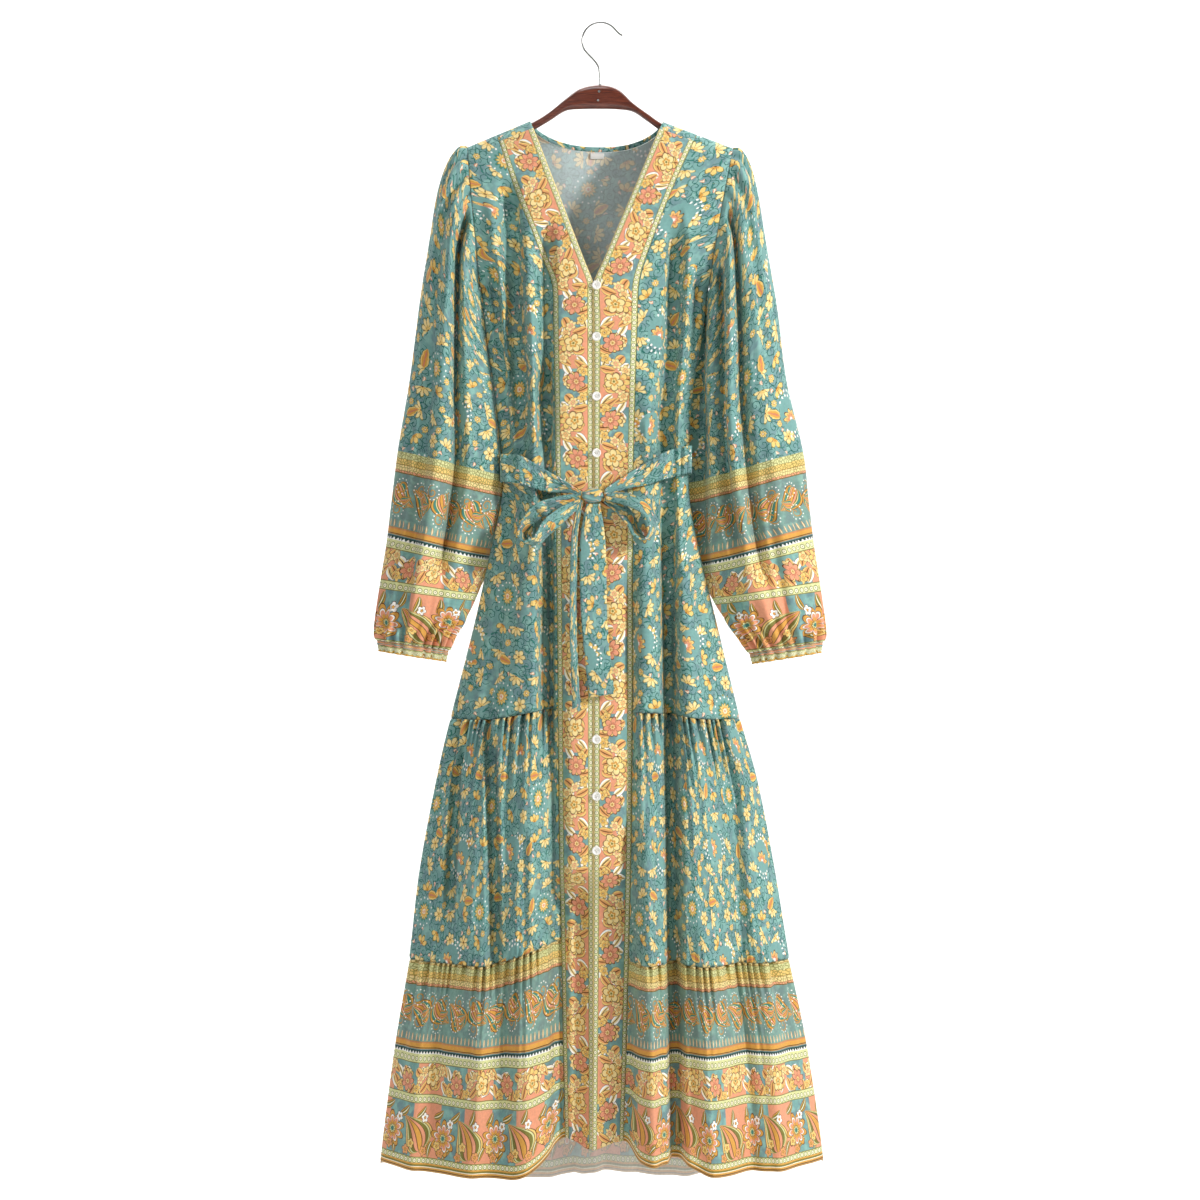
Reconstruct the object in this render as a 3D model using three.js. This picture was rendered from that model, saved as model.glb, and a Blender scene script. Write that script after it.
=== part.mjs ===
// A tiered cotton maxi dress on a wooden hanger. Millimetres, +Z up, front towards -Y.
// The origin is the inside crown of the hanger's hook, where the hanger hangs.

import * as THREE from 'three';

// Cloth and seams
const clothWall = 1.6;
const seamGap = 0.3;
const beltWall = 2.2;
const bandStep = 2.2; // how far the button band of the left front lies behind the right one

// Heights of the main seams, measured down from the hook
const neckHeight = -122.5;
const underarmHeight = -330;
const waistHeight = -559;
const tierSeam1 = -869;
const tierSeam2 = -1169;
const hemHeight = -1421;
const hemStart = -1290; // from here down the rows fan out to the hem's own line

// Gathers: number of waves at each seam, front piece by front piece, and their height
const midWaves = { left: 8, right: 8, back: 24 };
const hemWaves = { left: 19, right: 19, back: 38 };
const cuffWaves = 18;
const headWaves = 7;
const gatherHeight = 3.4;
const cuffGather = 2;
const headGather = 3;

// Where the front bands start at the shoulder seam and meet below the neck
const neckLeft = -87.5;
const neckRight = 79;

// Shoulder line, from the left tip over the two neck points to the right tip
const shoulderLine = [
  { x: -165, height: -155 },
  { x: -87.5, height: -122.5 },
  { x: 79, height: -123.5 },
  { x: 166, height: -156.5 },
];

// The armholes from the shoulder tip (0) to the underarm (1)
const armholes = [
  { down: 0, left: -165, right: 166 },
  { down: 0.15, left: -163, right: 160.5 },
  { down: 0.4, left: -159, right: 152 },
  { down: 0.6, left: -155.5, right: 146 },
  { down: 0.8, left: -152.5, right: 140.5 },
  { down: 1, left: -150, right: 136 },
];
const armholeDepth = 32;

// The body below the underarm: side seams, and how far front and back stand out between them
const bodyOutline = [
  { height: -100, left: -165, right: 166, front: 26, back: 22 },
  { height: -230, left: -158, right: 150, front: 40, back: 30 },
  { height: -330, left: -150, right: 136, front: 46, back: 33 },
  { height: -396, left: -142, right: 127, front: 44, back: 34 },
  { height: -470, left: -131, right: 115, front: 36, back: 32 },
  { height: -559, left: -121, right: 111, front: 30, back: 29 },
  { height: -600, left: -124, right: 113, front: 33, back: 32 },
  { height: -659, left: -137, right: 124, front: 40, back: 38 },
  { height: -746, left: -156, right: 145, front: 50, back: 46 },
  { height: -869, left: -187, right: 175, front: 60, back: 55 },
  { height: -946, left: -204, right: 196, front: 68, back: 62 },
  { height: -1060, left: -225, right: 218, front: 77, back: 71 },
  { height: -1169, left: -238, right: 236, front: 84, back: 79 },
  { height: -1268, left: -254, right: 256, front: 92, back: 87 },
  { height: -1372, left: -268, right: 272, front: 99, back: 95 },
  { height: -1470, left: -279, right: 284, front: 104, back: 101 },
];

// The front bands: outer edge, edge at the opening
const leftBand = [
  { height: -122.5, outer: -129, inner: -87.5 },
  { height: -200, outer: -106, inner: -58 },
  { height: -300, outer: -69, inner: -20 },
  { height: -330, outer: -59.5, inner: -8 },
  { height: -375, outer: -58, inner: 7 },
  { height: -559, outer: -55, inner: 8 },
  { height: -1040, outer: -50, inner: 7 },
  { height: -1200, outer: -47, inner: -6 },
  { height: -1421, outer: -43, inner: -12.5 },
];
const rightBand = [
  { height: -122.5, outer: 121.5, inner: 79 },
  { height: -200, outer: 90, inner: 47 },
  { height: -300, outer: 55, inner: 5 },
  { height: -330, outer: 48, inner: -7.5 },
  { height: -375, outer: 46, inner: -7.5 },
  { height: -559, outer: 41, inner: -7.5 },
  { height: -869, outer: 40, inner: -7.5 },
  { height: -1040, outer: 38, inner: -7.5 },
  { height: -1421, outer: 29, inner: -9.5 },
];

// Hem lines: the front is shorter at the opening, the back dips lower
const frontHem = [
  { x: -290, height: -1421 },
  { x: -110, height: -1422 },
  { x: -76, height: -1409 },
  { x: -43, height: -1383 },
  { x: -12, height: -1393 },
  { x: 29, height: -1382 },
  { x: 50, height: -1402 },
  { x: 100, height: -1406 },
  { x: 135, height: -1420 },
  { x: 290, height: -1419 },
];
const backHem = [
  { x: -290, height: -1421 },
  { x: -200, height: -1442 },
  { x: -90, height: -1464 },
  { x: 0, height: -1455 },
  { x: 70, height: -1463 },
  { x: 200, height: -1440 },
  { x: 290, height: -1419 },
];

// Large folds. x where a fold starts and ends, its half-width and its height (valleys below zero)
const frontFolds = [
  { from: -190, to: -559, x0: -118, x1: -94, width: 13, height: -11 },
  { from: -215, to: -540, x0: -139, x1: -112, width: 10, height: 7 },
  { from: -330, to: -600, x0: -86, x1: -78, width: 10, height: 6 },
  { from: -400, to: -980, x0: -68, x1: -64, width: 9, height: -13 },
  { from: -470, to: -1430, x0: -82, x1: -92, width: 22, height: 14 },
  { from: -560, to: -900, x0: -104, x1: -140, width: 12, height: -9 },
  { from: -640, to: -1440, x0: -112, x1: -160, width: 20, height: 9 },
  { from: -890, to: -1180, x0: -178, x1: -190, width: 12, height: -11 },
  { from: -900, to: -1300, x0: -128, x1: -124, width: 10, height: -10 },
  { from: -1150, to: -1440, x0: -228, x1: -236, width: 16, height: 9 },
  { from: -1170, to: -1440, x0: -58, x1: -56, width: 12, height: -14 },
  { from: -250, to: -559, x0: 96, x1: 78, width: 12, height: -9 },
  { from: -300, to: -600, x0: 116, x1: 98, width: 9, height: 7 },
  { from: -420, to: -900, x0: 60, x1: 58, width: 14, height: 11 },
  { from: -440, to: -1430, x0: 80, x1: 90, width: 10, height: -13 },
  { from: -600, to: -1440, x0: 104, x1: 140, width: 18, height: 11 },
  { from: -880, to: -1440, x0: 160, x1: 186, width: 14, height: -9 },
  { from: -960, to: -1440, x0: 58, x1: 66, width: 13, height: 13 },
  { from: -1000, to: -1440, x0: 44, x1: 42, width: 9, height: -10 },
  { from: -1120, to: -1440, x0: 206, x1: 224, width: 15, height: 9 },
];
const backFolds = [
  { from: -200, to: -600, x0: -92, x1: -74, width: 16, height: -8 },
  { from: -240, to: -640, x0: 84, x1: 70, width: 15, height: -9 },
  { from: -400, to: -980, x0: -42, x1: -52, width: 15, height: 9 },
  { from: -430, to: -1450, x0: 34, x1: 50, width: 18, height: 11 },
  { from: -520, to: -1460, x0: -8, x1: -14, width: 15, height: -12 },
  { from: -560, to: -1450, x0: -78, x1: -118, width: 18, height: -12 },
  { from: -600, to: -1450, x0: 74, x1: 112, width: 16, height: -11 },
  { from: -760, to: -1450, x0: -128, x1: -168, width: 20, height: 11 },
  { from: -820, to: -1450, x0: 122, x1: 162, width: 20, height: 12 },
  { from: -1000, to: -1450, x0: -196, x1: -216, width: 15, height: -9 },
  { from: -1040, to: -1450, x0: 192, x1: 210, width: 14, height: -9 },
];

// Sleeves, ring by ring from the armhole: outer and underarm edge of the ring, and its depth
const leftSleeve = [
  { outerX: -165, outerZ: -155, innerX: -150, innerZ: -330, depth: 64 },
  { outerX: -177, outerZ: -157, innerX: -151.5, innerZ: -334, depth: 74 },
  { outerX: -192, outerZ: -178, innerX: -151.8, innerZ: -342, depth: 80 },
  { outerX: -204, outerZ: -216, innerX: -151.5, innerZ: -358, depth: 83 },
  { outerX: -213, outerZ: -270, innerX: -148.5, innerZ: -390, depth: 83 },
  { outerX: -225, outerZ: -346, innerX: -142, innerZ: -431, depth: 81 },
  { outerX: -238, outerZ: -446, innerX: -135, innerZ: -480, depth: 81 },
  { outerX: -252, outerZ: -529, innerX: -127, innerZ: -560, depth: 83 },
  { outerX: -260.5, outerZ: -596, innerX: -137, innerZ: -627, depth: 81 },
  { outerX: -267, outerZ: -650, innerX: -150.5, innerZ: -677, depth: 79 },
  { outerX: -276, outerZ: -712, innerX: -163, innerZ: -726, depth: 73 },
  { outerX: -280, outerZ: -746, innerX: -169, innerZ: -748, depth: 64 },
  { outerX: -279.5, outerZ: -761, innerX: -182, innerZ: -767, depth: 54 },
  { outerX: -278, outerZ: -771, innerX: -189.5, innerZ: -784, depth: 45 },
];
const rightSleeve = [
  { outerX: 166, outerZ: -156.5, innerX: 136, innerZ: -330, depth: 64 },
  { outerX: 177, outerZ: -160, innerX: 138, innerZ: -334, depth: 74 },
  { outerX: 189, outerZ: -181, innerX: 138.5, innerZ: -342, depth: 80 },
  { outerX: 198, outerZ: -217, innerX: 137.5, innerZ: -361, depth: 83 },
  { outerX: 208, outerZ: -277, innerX: 133.5, innerZ: -394, depth: 83 },
  { outerX: 222, outerZ: -359, innerX: 127, innerZ: -440, depth: 81 },
  { outerX: 233, outerZ: -446, innerX: 121.5, innerZ: -496, depth: 81 },
  { outerX: 254, outerZ: -536, innerX: 119, innerZ: -574, depth: 83 },
  { outerX: 261, outerZ: -598, innerX: 126.5, innerZ: -636, depth: 81 },
  { outerX: 268, outerZ: -655, innerX: 138.5, innerZ: -688, depth: 79 },
  { outerX: 276, outerZ: -712, innerX: 149, innerZ: -728, depth: 73 },
  { outerX: 280, outerZ: -746, innerX: 158, innerZ: -750, depth: 64 },
  { outerX: 280, outerZ: -762, innerX: 174, innerZ: -770, depth: 54 },
  { outerX: 278, outerZ: -773, innerX: 186, innerZ: -787, depth: 45 },
];
const cuffEnds = {
  left: { outerX: -276, outerZ: -785, innerX: -192.5, innerZ: -798, depth: 42 },
  right: { outerX: 276, outerZ: -787, innerX: 190, innerZ: -801, depth: 42 },
};

// Folds of a sleeve: place across the ring (0 outer edge, 1 underarm edge) at its first and last ring
const leftSleeveFolds = [
  { first: 0.4, last: 10, at0: 0.5, at1: 0.68, width: 0.07, height: -11, side: 1 },
  { first: 0.8, last: 11, at0: 0.36, at1: 0.5, width: 0.1, height: 6, side: 1 },
  { first: 5, last: 12, at0: 0.24, at1: 0.3, width: 0.07, height: -6, side: 1 },
  { first: 0.5, last: 11, at0: 0.45, at1: 0.4, width: 0.09, height: -8, side: -1 },
  { first: 2, last: 12, at0: 0.66, at1: 0.62, width: 0.1, height: 6, side: -1 },
];
const rightSleeveFolds = [
  { first: 0.6, last: 10, at0: 0.46, at1: 0.54, width: 0.07, height: -10, side: 1 },
  { first: 2.4, last: 9, at0: 0.8, at1: 0.72, width: 0.06, height: -9, side: 1 },
  { first: 0.8, last: 11, at0: 0.62, at1: 0.66, width: 0.08, height: 6, side: 1 },
  { first: 0.5, last: 11, at0: 0.5, at1: 0.44, width: 0.09, height: -8, side: -1 },
  { first: 2, last: 12, at0: 0.3, at1: 0.34, width: 0.1, height: 6, side: -1 },
];

// Tie belt. Centre and width of each stretch, and how far it stands off the front
const beltFront = {
  left: [
    { x: -121, height: -557, width: 34 },
    { x: -98, height: -560, width: 34 },
    { x: -66, height: -574, width: 27 },
    { x: -42, height: -582, width: 15 },
    { x: -23.6, height: -591, width: 8 },
  ],
  right: [
    { x: 111, height: -546, width: 34 },
    { x: 88, height: -552, width: 34 },
    { x: 62, height: -563, width: 28 },
    { x: 34, height: -575, width: 17 },
    { x: 5.6, height: -590, width: 8 },
  ],
};
const bowLoops = {
  left: [
    { x: -24.4, height: -597, width: 8, open: 2.6 },
    { x: -48, height: -608, width: 18, open: 8 },
    { x: -72, height: -623, width: 26, open: 12 },
    { x: -86, height: -642, width: 27, open: 9 },
    { x: -90, height: -652, width: 24, open: 4 },
  ],
  right: [
    { x: 6.8, height: -595, width: 8, open: 2.6 },
    { x: 29, height: -603, width: 17, open: 8 },
    { x: 47, height: -617, width: 22, open: 12 },
    { x: 54, height: -634, width: 22, open: 9 },
    { x: 57, height: -645, width: 20, open: 4 },
  ],
};
const beltTails = {
  wide: [
    { height: -602.4, left: -17, right: 0 },
    { height: -640, left: -24, right: 6 },
    { height: -686, left: -25, right: 8 },
    { height: -744, left: -23, right: 9 },
    { height: -801, left: -18, right: 14 },
    { height: -838, left: -13, right: 17.5 },
  ],
  narrow: [
    { height: -598, left: -27, right: -20.8 },
    { height: -640, left: -35, right: -27 },
    { height: -700, left: -37, right: -28 },
    { height: -770, left: -37, right: -28 },
    { height: -852, left: -34, right: -24 },
  ],
};
const knot = { x: -9, height: -592, halfWidth: 14, halfDepth: 8.5, halfHeight: 10, standOff: 10.5 };
const beltStandOff = 1.5;
const tailStandOff = { wide: 10, narrow: 8 };

// Buttons down the opening
const buttonDiameter = 11.6;
const buttonThickness = 2.8;
const buttonX = -4.4;
const buttonHeights = [-333, -396, -469, -539, -611, -682, -752, -822, -892, -961, -1027];

// Hanger bar, station by station: top and bottom edge and half its thickness
const hangerBar = [
  { x: -156, top: -156, bottom: -161, half: 3 },
  { x: -152, top: -151.8, bottom: -162, half: 5.5 },
  { x: -120, top: -138.3, bottom: -149.6, half: 5.8 },
  { x: -86, top: -124.6, bottom: -135.4, half: 4.6 },
  { x: -64, top: -111.5, bottom: -123, half: 5.5 },
  { x: -43, top: -94.5, bottom: -110, half: 6.5 },
  { x: -25, top: -81.5, bottom: -107.8, half: 7 },
  { x: 0, top: -77, bottom: -107.4, half: 7 },
  { x: 22, top: -82, bottom: -108, half: 7 },
  { x: 41, top: -99.5, bottom: -111, half: 6.5 },
  { x: 60, top: -113.4, bottom: -123.5, half: 6 },
  { x: 78, top: -125.6, bottom: -135.5, half: 4.6 },
  { x: 120, top: -141.3, bottom: -151.6, half: 5.8 },
  { x: 153, top: -153.9, bottom: -163.6, half: 5.5 },
  { x: 157, top: -157.6, bottom: -163, half: 3 },
];
const hookWire = 2.4;
const hookRadius = 23.25;

// Neck binding and label
const neckDip = 28;
const bindingHeight = 5.6;
const bindingWall = 2.4;
const neckColumns = 14;
const shoulderColumns = 3;
const label = { left: -12.5, right: 5, drop: 2, height: 9, wall: 0.8 };

const materials = {
  print: { color: 0x7fa39a, roughness: 0.9, metalness: 0 },
  border: { color: 0xc9a878, roughness: 0.9, metalness: 0 },
  button: { color: 0xf4f2ec, roughness: 0.35, metalness: 0 },
  label: { color: 0xf2f1ee, roughness: 0.8, metalness: 0 },
  wood: { color: 0x6b2f1c, roughness: 0.35, metalness: 0 },
  steel: { color: 0xb8b9ba, roughness: 0.3, metalness: 1 },
};

const dress = new THREE.Group();

// Small helpers

function mix(a, b, share) {
  return a + (b - a) * share;
}

function clamp01(value) {
  return Math.min(1, Math.max(0, value));
}

function ease(value) {
  const t = clamp01(value);
  return t * t * (3 - 2 * t);
}

// Reads a column of a table at a place along its key, on a smooth curve through the rows
function readTable(table, key, column, at) {
  const falling = table[0][key] > table[1][key];
  let row = 0;
  while (row < table.length - 2 && (falling ? at < table[row + 1][key] : at > table[row + 1][key])) {
    row += 1;
  }
  const before = table[Math.max(row - 1, 0)];
  const start = table[row];
  const end = table[row + 1];
  const after = table[Math.min(row + 2, table.length - 1)];
  const span = end[key] - start[key];
  const t = clamp01((at - start[key]) / span);
  const slopeStart = ((end[column] - before[column]) / (end[key] - before[key])) * span;
  const slopeEnd = ((after[column] - start[column]) / (after[key] - start[key])) * span;
  const t2 = t * t;
  const t3 = t2 * t;
  return start[column] * (2 * t3 - 3 * t2 + 1) + slopeStart * (t3 - 2 * t2 + t)
    + end[column] * (3 * t2 - 2 * t3) + slopeEnd * (t3 - t2);
}

// Reads a table on straight lines between its rows
function readStraight(table, key, column, at) {
  const falling = table[0][key] > table[1][key];
  let row = 0;
  while (row < table.length - 2 && (falling ? at < table[row + 1][key] : at > table[row + 1][key])) {
    row += 1;
  }
  const start = table[row];
  const end = table[row + 1];
  return mix(start[column], end[column], clamp01((at - start[key]) / (end[key] - start[key])));
}

// Sum of the soft ridges and troughs of a fold table at one place
function foldHeight(folds, x, height) {
  let sum = 0;
  for (const fold of folds) {
    const share = (height - fold.from) / (fold.to - fold.from);
    if (share <= 0 || share >= 1) {
      if (!(share >= 1 && fold.to < hemHeight)) {
        continue;
      }
    }
    const centre = mix(fold.x0, fold.x1, clamp01(share));
    const off = (x - centre) / fold.width;
    const fadeIn = ease(share / 0.25);
    const fadeOut = fold.to < hemHeight ? 1 : ease((1 - share) / 0.25);
    sum += fold.height * Math.exp(-off * off) * fadeIn * fadeOut;
  }
  return sum;
}

// Adds a mesh made of shared points and triangles, turned so that its faces point out
function addMesh(name, material, points, faces) {
  let volume = 0;
  for (const [a, b, c] of faces) {
    volume += points[a].dot(new THREE.Vector3().crossVectors(points[b], points[c]));
  }
  const ordered = volume < 0 ? faces.map(([a, b, c]) => [a, c, b]) : faces;
  const geometry = new THREE.BufferGeometry();
  const numbers = points.flatMap((point) => [point.x, point.y, point.z]);
  geometry.setAttribute('position', new THREE.Float32BufferAttribute(numbers, 3));
  geometry.setIndex(ordered.flat());
  geometry.computeVertexNormals();
  const mesh = new THREE.Mesh(geometry, new THREE.MeshStandardMaterial(materials[material]));
  mesh.name = name;
  dress.add(mesh);
  return mesh;
}

// Joins two rows of points that may hold different counts into triangles
function stitch(faces, rowA, rowB, flip) {
  let a = 0;
  let b = 0;
  while (a < rowA.length - 1 || b < rowB.length - 1) {
    const nextA = (a + 1) / (rowA.length - 1);
    const nextB = (b + 1) / (rowB.length - 1);
    let face;
    if (b >= rowB.length - 1 || (a < rowA.length - 1 && nextA <= nextB)) {
      face = [rowA[a], rowB[b], rowA[a + 1]];
      a += 1;
    } else {
      face = [rowA[a], rowB[b], rowB[b + 1]];
      b += 1;
    }
    faces.push(flip ? [face[0], face[2], face[1]] : face);
  }
}

// A cloth wall. Each row is a list of [outer point, inner point]; closed rows go all the way round
function addWall(name, material, rows, closed = false) {
  const points = [];
  const outer = [];
  const inner = [];
  for (const row of rows) {
    const outerRow = [];
    const innerRow = [];
    for (const [outerPoint, innerPoint] of row) {
      outerRow.push(points.length);
      points.push(outerPoint);
      innerRow.push(points.length);
      points.push(innerPoint);
    }
    if (closed) {
      outerRow.push(outerRow[0]);
      innerRow.push(innerRow[0]);
    }
    outer.push(outerRow);
    inner.push(innerRow);
  }
  const faces = [];
  for (let r = 0; r < rows.length - 1; r += 1) {
    stitch(faces, outer[r], outer[r + 1], false);
    stitch(faces, inner[r], inner[r + 1], true);
  }
  const last = rows.length - 1;
  stitch(faces, inner[0], outer[0], false);
  stitch(faces, outer[last], inner[last], false);
  if (!closed) {
    const end = (row) => row[row.length - 1];
    for (let r = 0; r < last; r += 1) {
      faces.push([outer[r][0], inner[r][0], inner[r + 1][0]]);
      faces.push([outer[r][0], inner[r + 1][0], outer[r + 1][0]]);
      faces.push([end(outer[r]), end(inner[r + 1]), end(inner[r])]);
      faces.push([end(outer[r]), end(outer[r + 1]), end(inner[r + 1])]);
    }
  }
  return addMesh(name, material, points, faces);
}

// Body surface

function shoulderHeight(x) {
  return readStraight(shoulderLine, 'x', 'height', x);
}

function sideEdge(side, row) {
  if (row > underarmHeight) {
    return readTable(armholes, 'down', side, (neckHeight - row) / (neckHeight - underarmHeight));
  }
  return readTable(bodyOutline, 'height', side, row);
}

function backNeckHeight(x) {
  const reach = x < 0 ? neckLeft : neckRight;
  const share = clamp01(Math.abs(x / reach));
  const seam = shoulderHeight(x);
  return seam - neckDip * (1 - share ** 2.4) ** 0.8;
}

// A point of the body wall. x is its place across, topX its place on the shoulder line and row its
// nominal height; face is -1 on the front and 1 on the back. lift moves it out of the surface.
function bodyPoint(x, topX, row, face, lift = 0, topDrop = 0) {
  const down = clamp01((neckHeight - row) / (neckHeight - underarmHeight));
  let height = row;
  let crown = 200;
  if (row > underarmHeight) {
    const line = shoulderHeight(topX);
    const inNeck = topX > neckLeft && topX < neckRight;
    const fromNeck = Math.min(topX - neckLeft, neckRight - topX);
    const start = face > 0 && inNeck ? backNeckHeight(topX) - topDrop * ease(fromNeck / 9) : line;
    height = mix(start, underarmHeight, down);
    crown = line - height;
  }
  if (row < hemStart) {
    const hem = readTable(face < 0 ? frontHem : backHem, 'x', 'height', x);
    height = mix(hemStart, hem, (row - hemStart) / (hemHeight - hemStart));
  }
  const left = sideEdge('left', row);
  const right = sideEdge('right', row);
  const across = (2 * x - left - right) / (right - left);
  const edge = armholeDepth * 2 * Math.sqrt(down * (1 - down));
  const rise = crown < 40 ? Math.sqrt(1 - (1 - Math.max(crown, 0) / 40) ** 2) : 1;
  const depth = readTable(bodyOutline, 'height', face < 0 ? 'front' : 'back', height) * rise;
  const lens = Math.max(0, 1 - Math.abs(across) ** 2.3) ** 0.72;
  const nearSide = 1 - ease((Math.abs(across) - 0.8) / 0.2);
  const nearTop = ease((crown - 12) / 60);
  const belt = 1 - 0.55 * Math.exp(-(((height - waistHeight) / 30) ** 2));
  const folds = foldHeight(face < 0 ? frontFolds : backFolds, x, height) * nearSide * nearTop * belt;
  const out = seamGap / 2 + edge + Math.max(depth - edge, 0) * lens + folds;
  const onSide = row > underarmHeight ? ease((down - 0.9) / 0.1) : 1;
  const sideShare = onSide * Math.abs(across) ** 9;
  const topShare = Math.exp(-crown / 4);
  const inward = new THREE.Vector3(
    -Math.sign(across) * sideShare,
    -face * (1 - sideShare) * (1 - topShare),
    -topShare,
  ).normalize();
  const outer = new THREE.Vector3(x, face * out, height).addScaledVector(inward, -lift);
  outer.y = face * Math.max(face * outer.y, seamGap / 2);
  const innerPoint = outer.clone().addScaledVector(inward, clothWall);
  innerPoint.y = face * Math.max(face * innerPoint.y, seamGap / 2);
  return [outer, innerPoint];
}

// Where the columns of the back start on its top edge, as shares of its width: close round the neck
function backShares() {
  const width = armholes[0].right - armholes[0].left;
  const from = (neckLeft - armholes[0].left) / width;
  const to = (neckRight - armholes[0].left) / width;
  const shares = [];
  for (let c = 0; c < shoulderColumns; c += 1) {
    shares.push((from * c) / shoulderColumns);
  }
  for (let c = 0; c <= neckColumns; c += 1) {
    shares.push(mix(from, to, (1 - Math.cos((Math.PI * c) / neckColumns)) / 2));
  }
  for (let c = 1; c <= shoulderColumns; c += 1) {
    shares.push(mix(to, 1, c / shoulderColumns));
  }
  return shares;
}

// Rows of a body piece. Each row says its height and how many columns it has; edges gives its ends
function bodyRows(rowList, face, edges, liftAt = () => 0, topDrop = 0) {
  const [topLeft, topRight] = edges(neckHeight);
  return rowList.map(({ row, columns, shares }) => {
    const [from, to] = edges(row);
    const list = [];
    for (let c = 0; c <= columns; c += 1) {
      const share = shares ? shares[c] : c / columns;
      const lift = liftAt(c, columns, row);
      list.push(bodyPoint(mix(from, to, share), mix(topLeft, topRight, share), row, face, lift, topDrop));
    }
    return list;
  });
}

function bandEdge(band, column, row) {
  return readTable(band, 'height', column, row);
}

const frontEdges = {
  l: (row) => [sideEdge('left', row), bandEdge(leftBand, 'outer', row) - seamGap],
  r: (row) => [bandEdge(rightBand, 'outer', row) + seamGap, sideEdge('right', row)],
};
const backEdges = (row) => [sideEdge('left', row), sideEdge('right', row)];

// Zigzag gathers that die out below a seam
function gathersBelow(seam, waves, reach) {
  return (column, columns, row) => {
    if (columns !== waves * 2) {
      return 0;
    }
    const fade = Math.exp((row - seam) / reach);
    const ends = column === 0 || column === columns ? 0 : 1;
    return gatherHeight * fade * ends * (column % 2 === 0 ? -0.5 : 0.9) + 1.2 * (1 - fade);
  };
}

function tierRows(seam, bottom, waves, columns) {
  const top = seam - seamGap / 2;
  const fall = top - bottom;
  const list = [
    { row: top, columns: waves * 2 },
    { row: top - 16, columns: waves * 2 },
    { row: top - 46, columns: waves * 2 },
  ];
  for (const share of [0.36, 0.6, 0.82, 1]) {
    list.push({ row: top - fall * share, columns });
  }
  return list;
}

// Pieces

function makeUpperBody() {
  const upperRows = [
    -122.5, -125, -131, -142, -162, -195, -235, -280, -312, -330,
    -365, -410, -460, -510, -545, -575, -610, -670, -740, -810, tierSeam1 + seamGap / 2,
  ];
  const front = upperRows.map((row) => ({ row, columns: row > -200 ? 7 : 13 }));
  const neckShares = backShares();
  const back = upperRows.map((row) => {
    const shares = row > -300 ? neckShares : undefined;
    return { row, columns: shares ? shares.length - 1 : 20, shares };
  });
  addWall('front_upper_l', 'print', bodyRows(front, -1, frontEdges.l));
  addWall('front_upper_r', 'print', bodyRows(front, -1, frontEdges.r));
  addWall('back_upper', 'print', bodyRows(back, 1, backEdges, () => 0, bindingHeight + seamGap));
}

function makeTier(name, seam, bottom, waves, columns) {
  for (const side of ['l', 'r']) {
    const count = side === 'l' ? waves.left : waves.right;
    const rows = tierRows(seam, bottom, count, columns.front);
    const front = bodyRows(rows, -1, frontEdges[side], gathersBelow(seam, count, 38));
    addWall(`front_${name}_${side}`, 'print', front);
  }
  const rows = tierRows(seam, bottom, waves.back, columns.back);
  addWall(`back_${name}`, 'print', bodyRows(rows, 1, backEdges, gathersBelow(seam, waves.back, 38)));
}

function bandRows() {
  const rows = [-122.5, -125, -131, -142, -162, -195, -235, -280, -312, -330, -365];
  for (let row = -410; row > hemStart; row -= 55) {
    rows.push(row);
  }
  rows.push(hemStart, -1350, hemHeight);
  return rows;
}

// The left band dips behind the right one where they lie on each other
function makeBands() {
  const rows = bandRows();
  const left = rows.map((row) => {
    const outer = bandEdge(leftBand, 'outer', row);
    const inner = bandEdge(leftBand, 'inner', row);
    const bend = Math.min(-21, mix(outer, inner, 0.8));
    return [outer, mix(outer, inner, 0.5), bend, Math.min(-10.5, inner - 1), inner].map((x) => {
      const share = (x - outer) / (inner - outer);
      const behind = row > -300 ? 0 : bandStep * ease((x + 21) / 10);
      return bodyPoint(x, mix(-129, neckLeft, share), row, -1, -behind);
    });
  });
  addWall('front_band_l', 'border', left);
  addWall('front_band_r', 'border', rows.map(rightBandRow));
}

function rightBandRow(row) {
  const outer = bandEdge(rightBand, 'outer', row);
  const inner = bandEdge(rightBand, 'inner', row);
  const atShoulder = rightBand[0];
  return [0, 0.25, 0.6, 1].map((share) => {
    const topX = mix(atShoulder.inner, atShoulder.outer, share);
    return bodyPoint(mix(inner, outer, share), topX, row, -1);
  });
}

// The flat face of the right band's wall about a button: its first facet beside the opening
function buttonSeat(height) {
  const rows = bandRows();
  const below = rows.findIndex((row) => row < height);
  const share = (rows[below - 1] - height) / (rows[below - 1] - rows[below]);
  const upper = rightBandRow(rows[below - 1]);
  const lower = rightBandRow(rows[below]);
  const [edge, inside] = [0, 1].map((place) => upper[place][0].clone().lerp(lower[place][0], share));
  const along = lower[0][0].clone().sub(upper[0][0]);
  const out = new THREE.Vector3().crossVectors(inside.clone().sub(edge), along).normalize();
  const place = (buttonX - edge.x) / (inside.x - edge.x);
  return { seat: edge.lerp(inside, place), out: out.y > 0 ? out.negate() : out };
}

function makeNeckBinding() {
  const rows = [0, bindingHeight].map((drop) => {
    const list = [];
    for (let c = 1; c < neckColumns; c += 1) {
      const x = mix(neckLeft, neckRight, (1 - Math.cos((Math.PI * c) / neckColumns)) / 2);
      const [outer] = bodyPoint(x, x, neckHeight, 1, 0.4, drop);
      list.push([outer, new THREE.Vector3(outer.x, Math.max(outer.y - bindingWall, seamGap / 2), outer.z)]);
    }
    return list;
  });
  addWall('neck_binding', 'border', rows);
}

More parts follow.
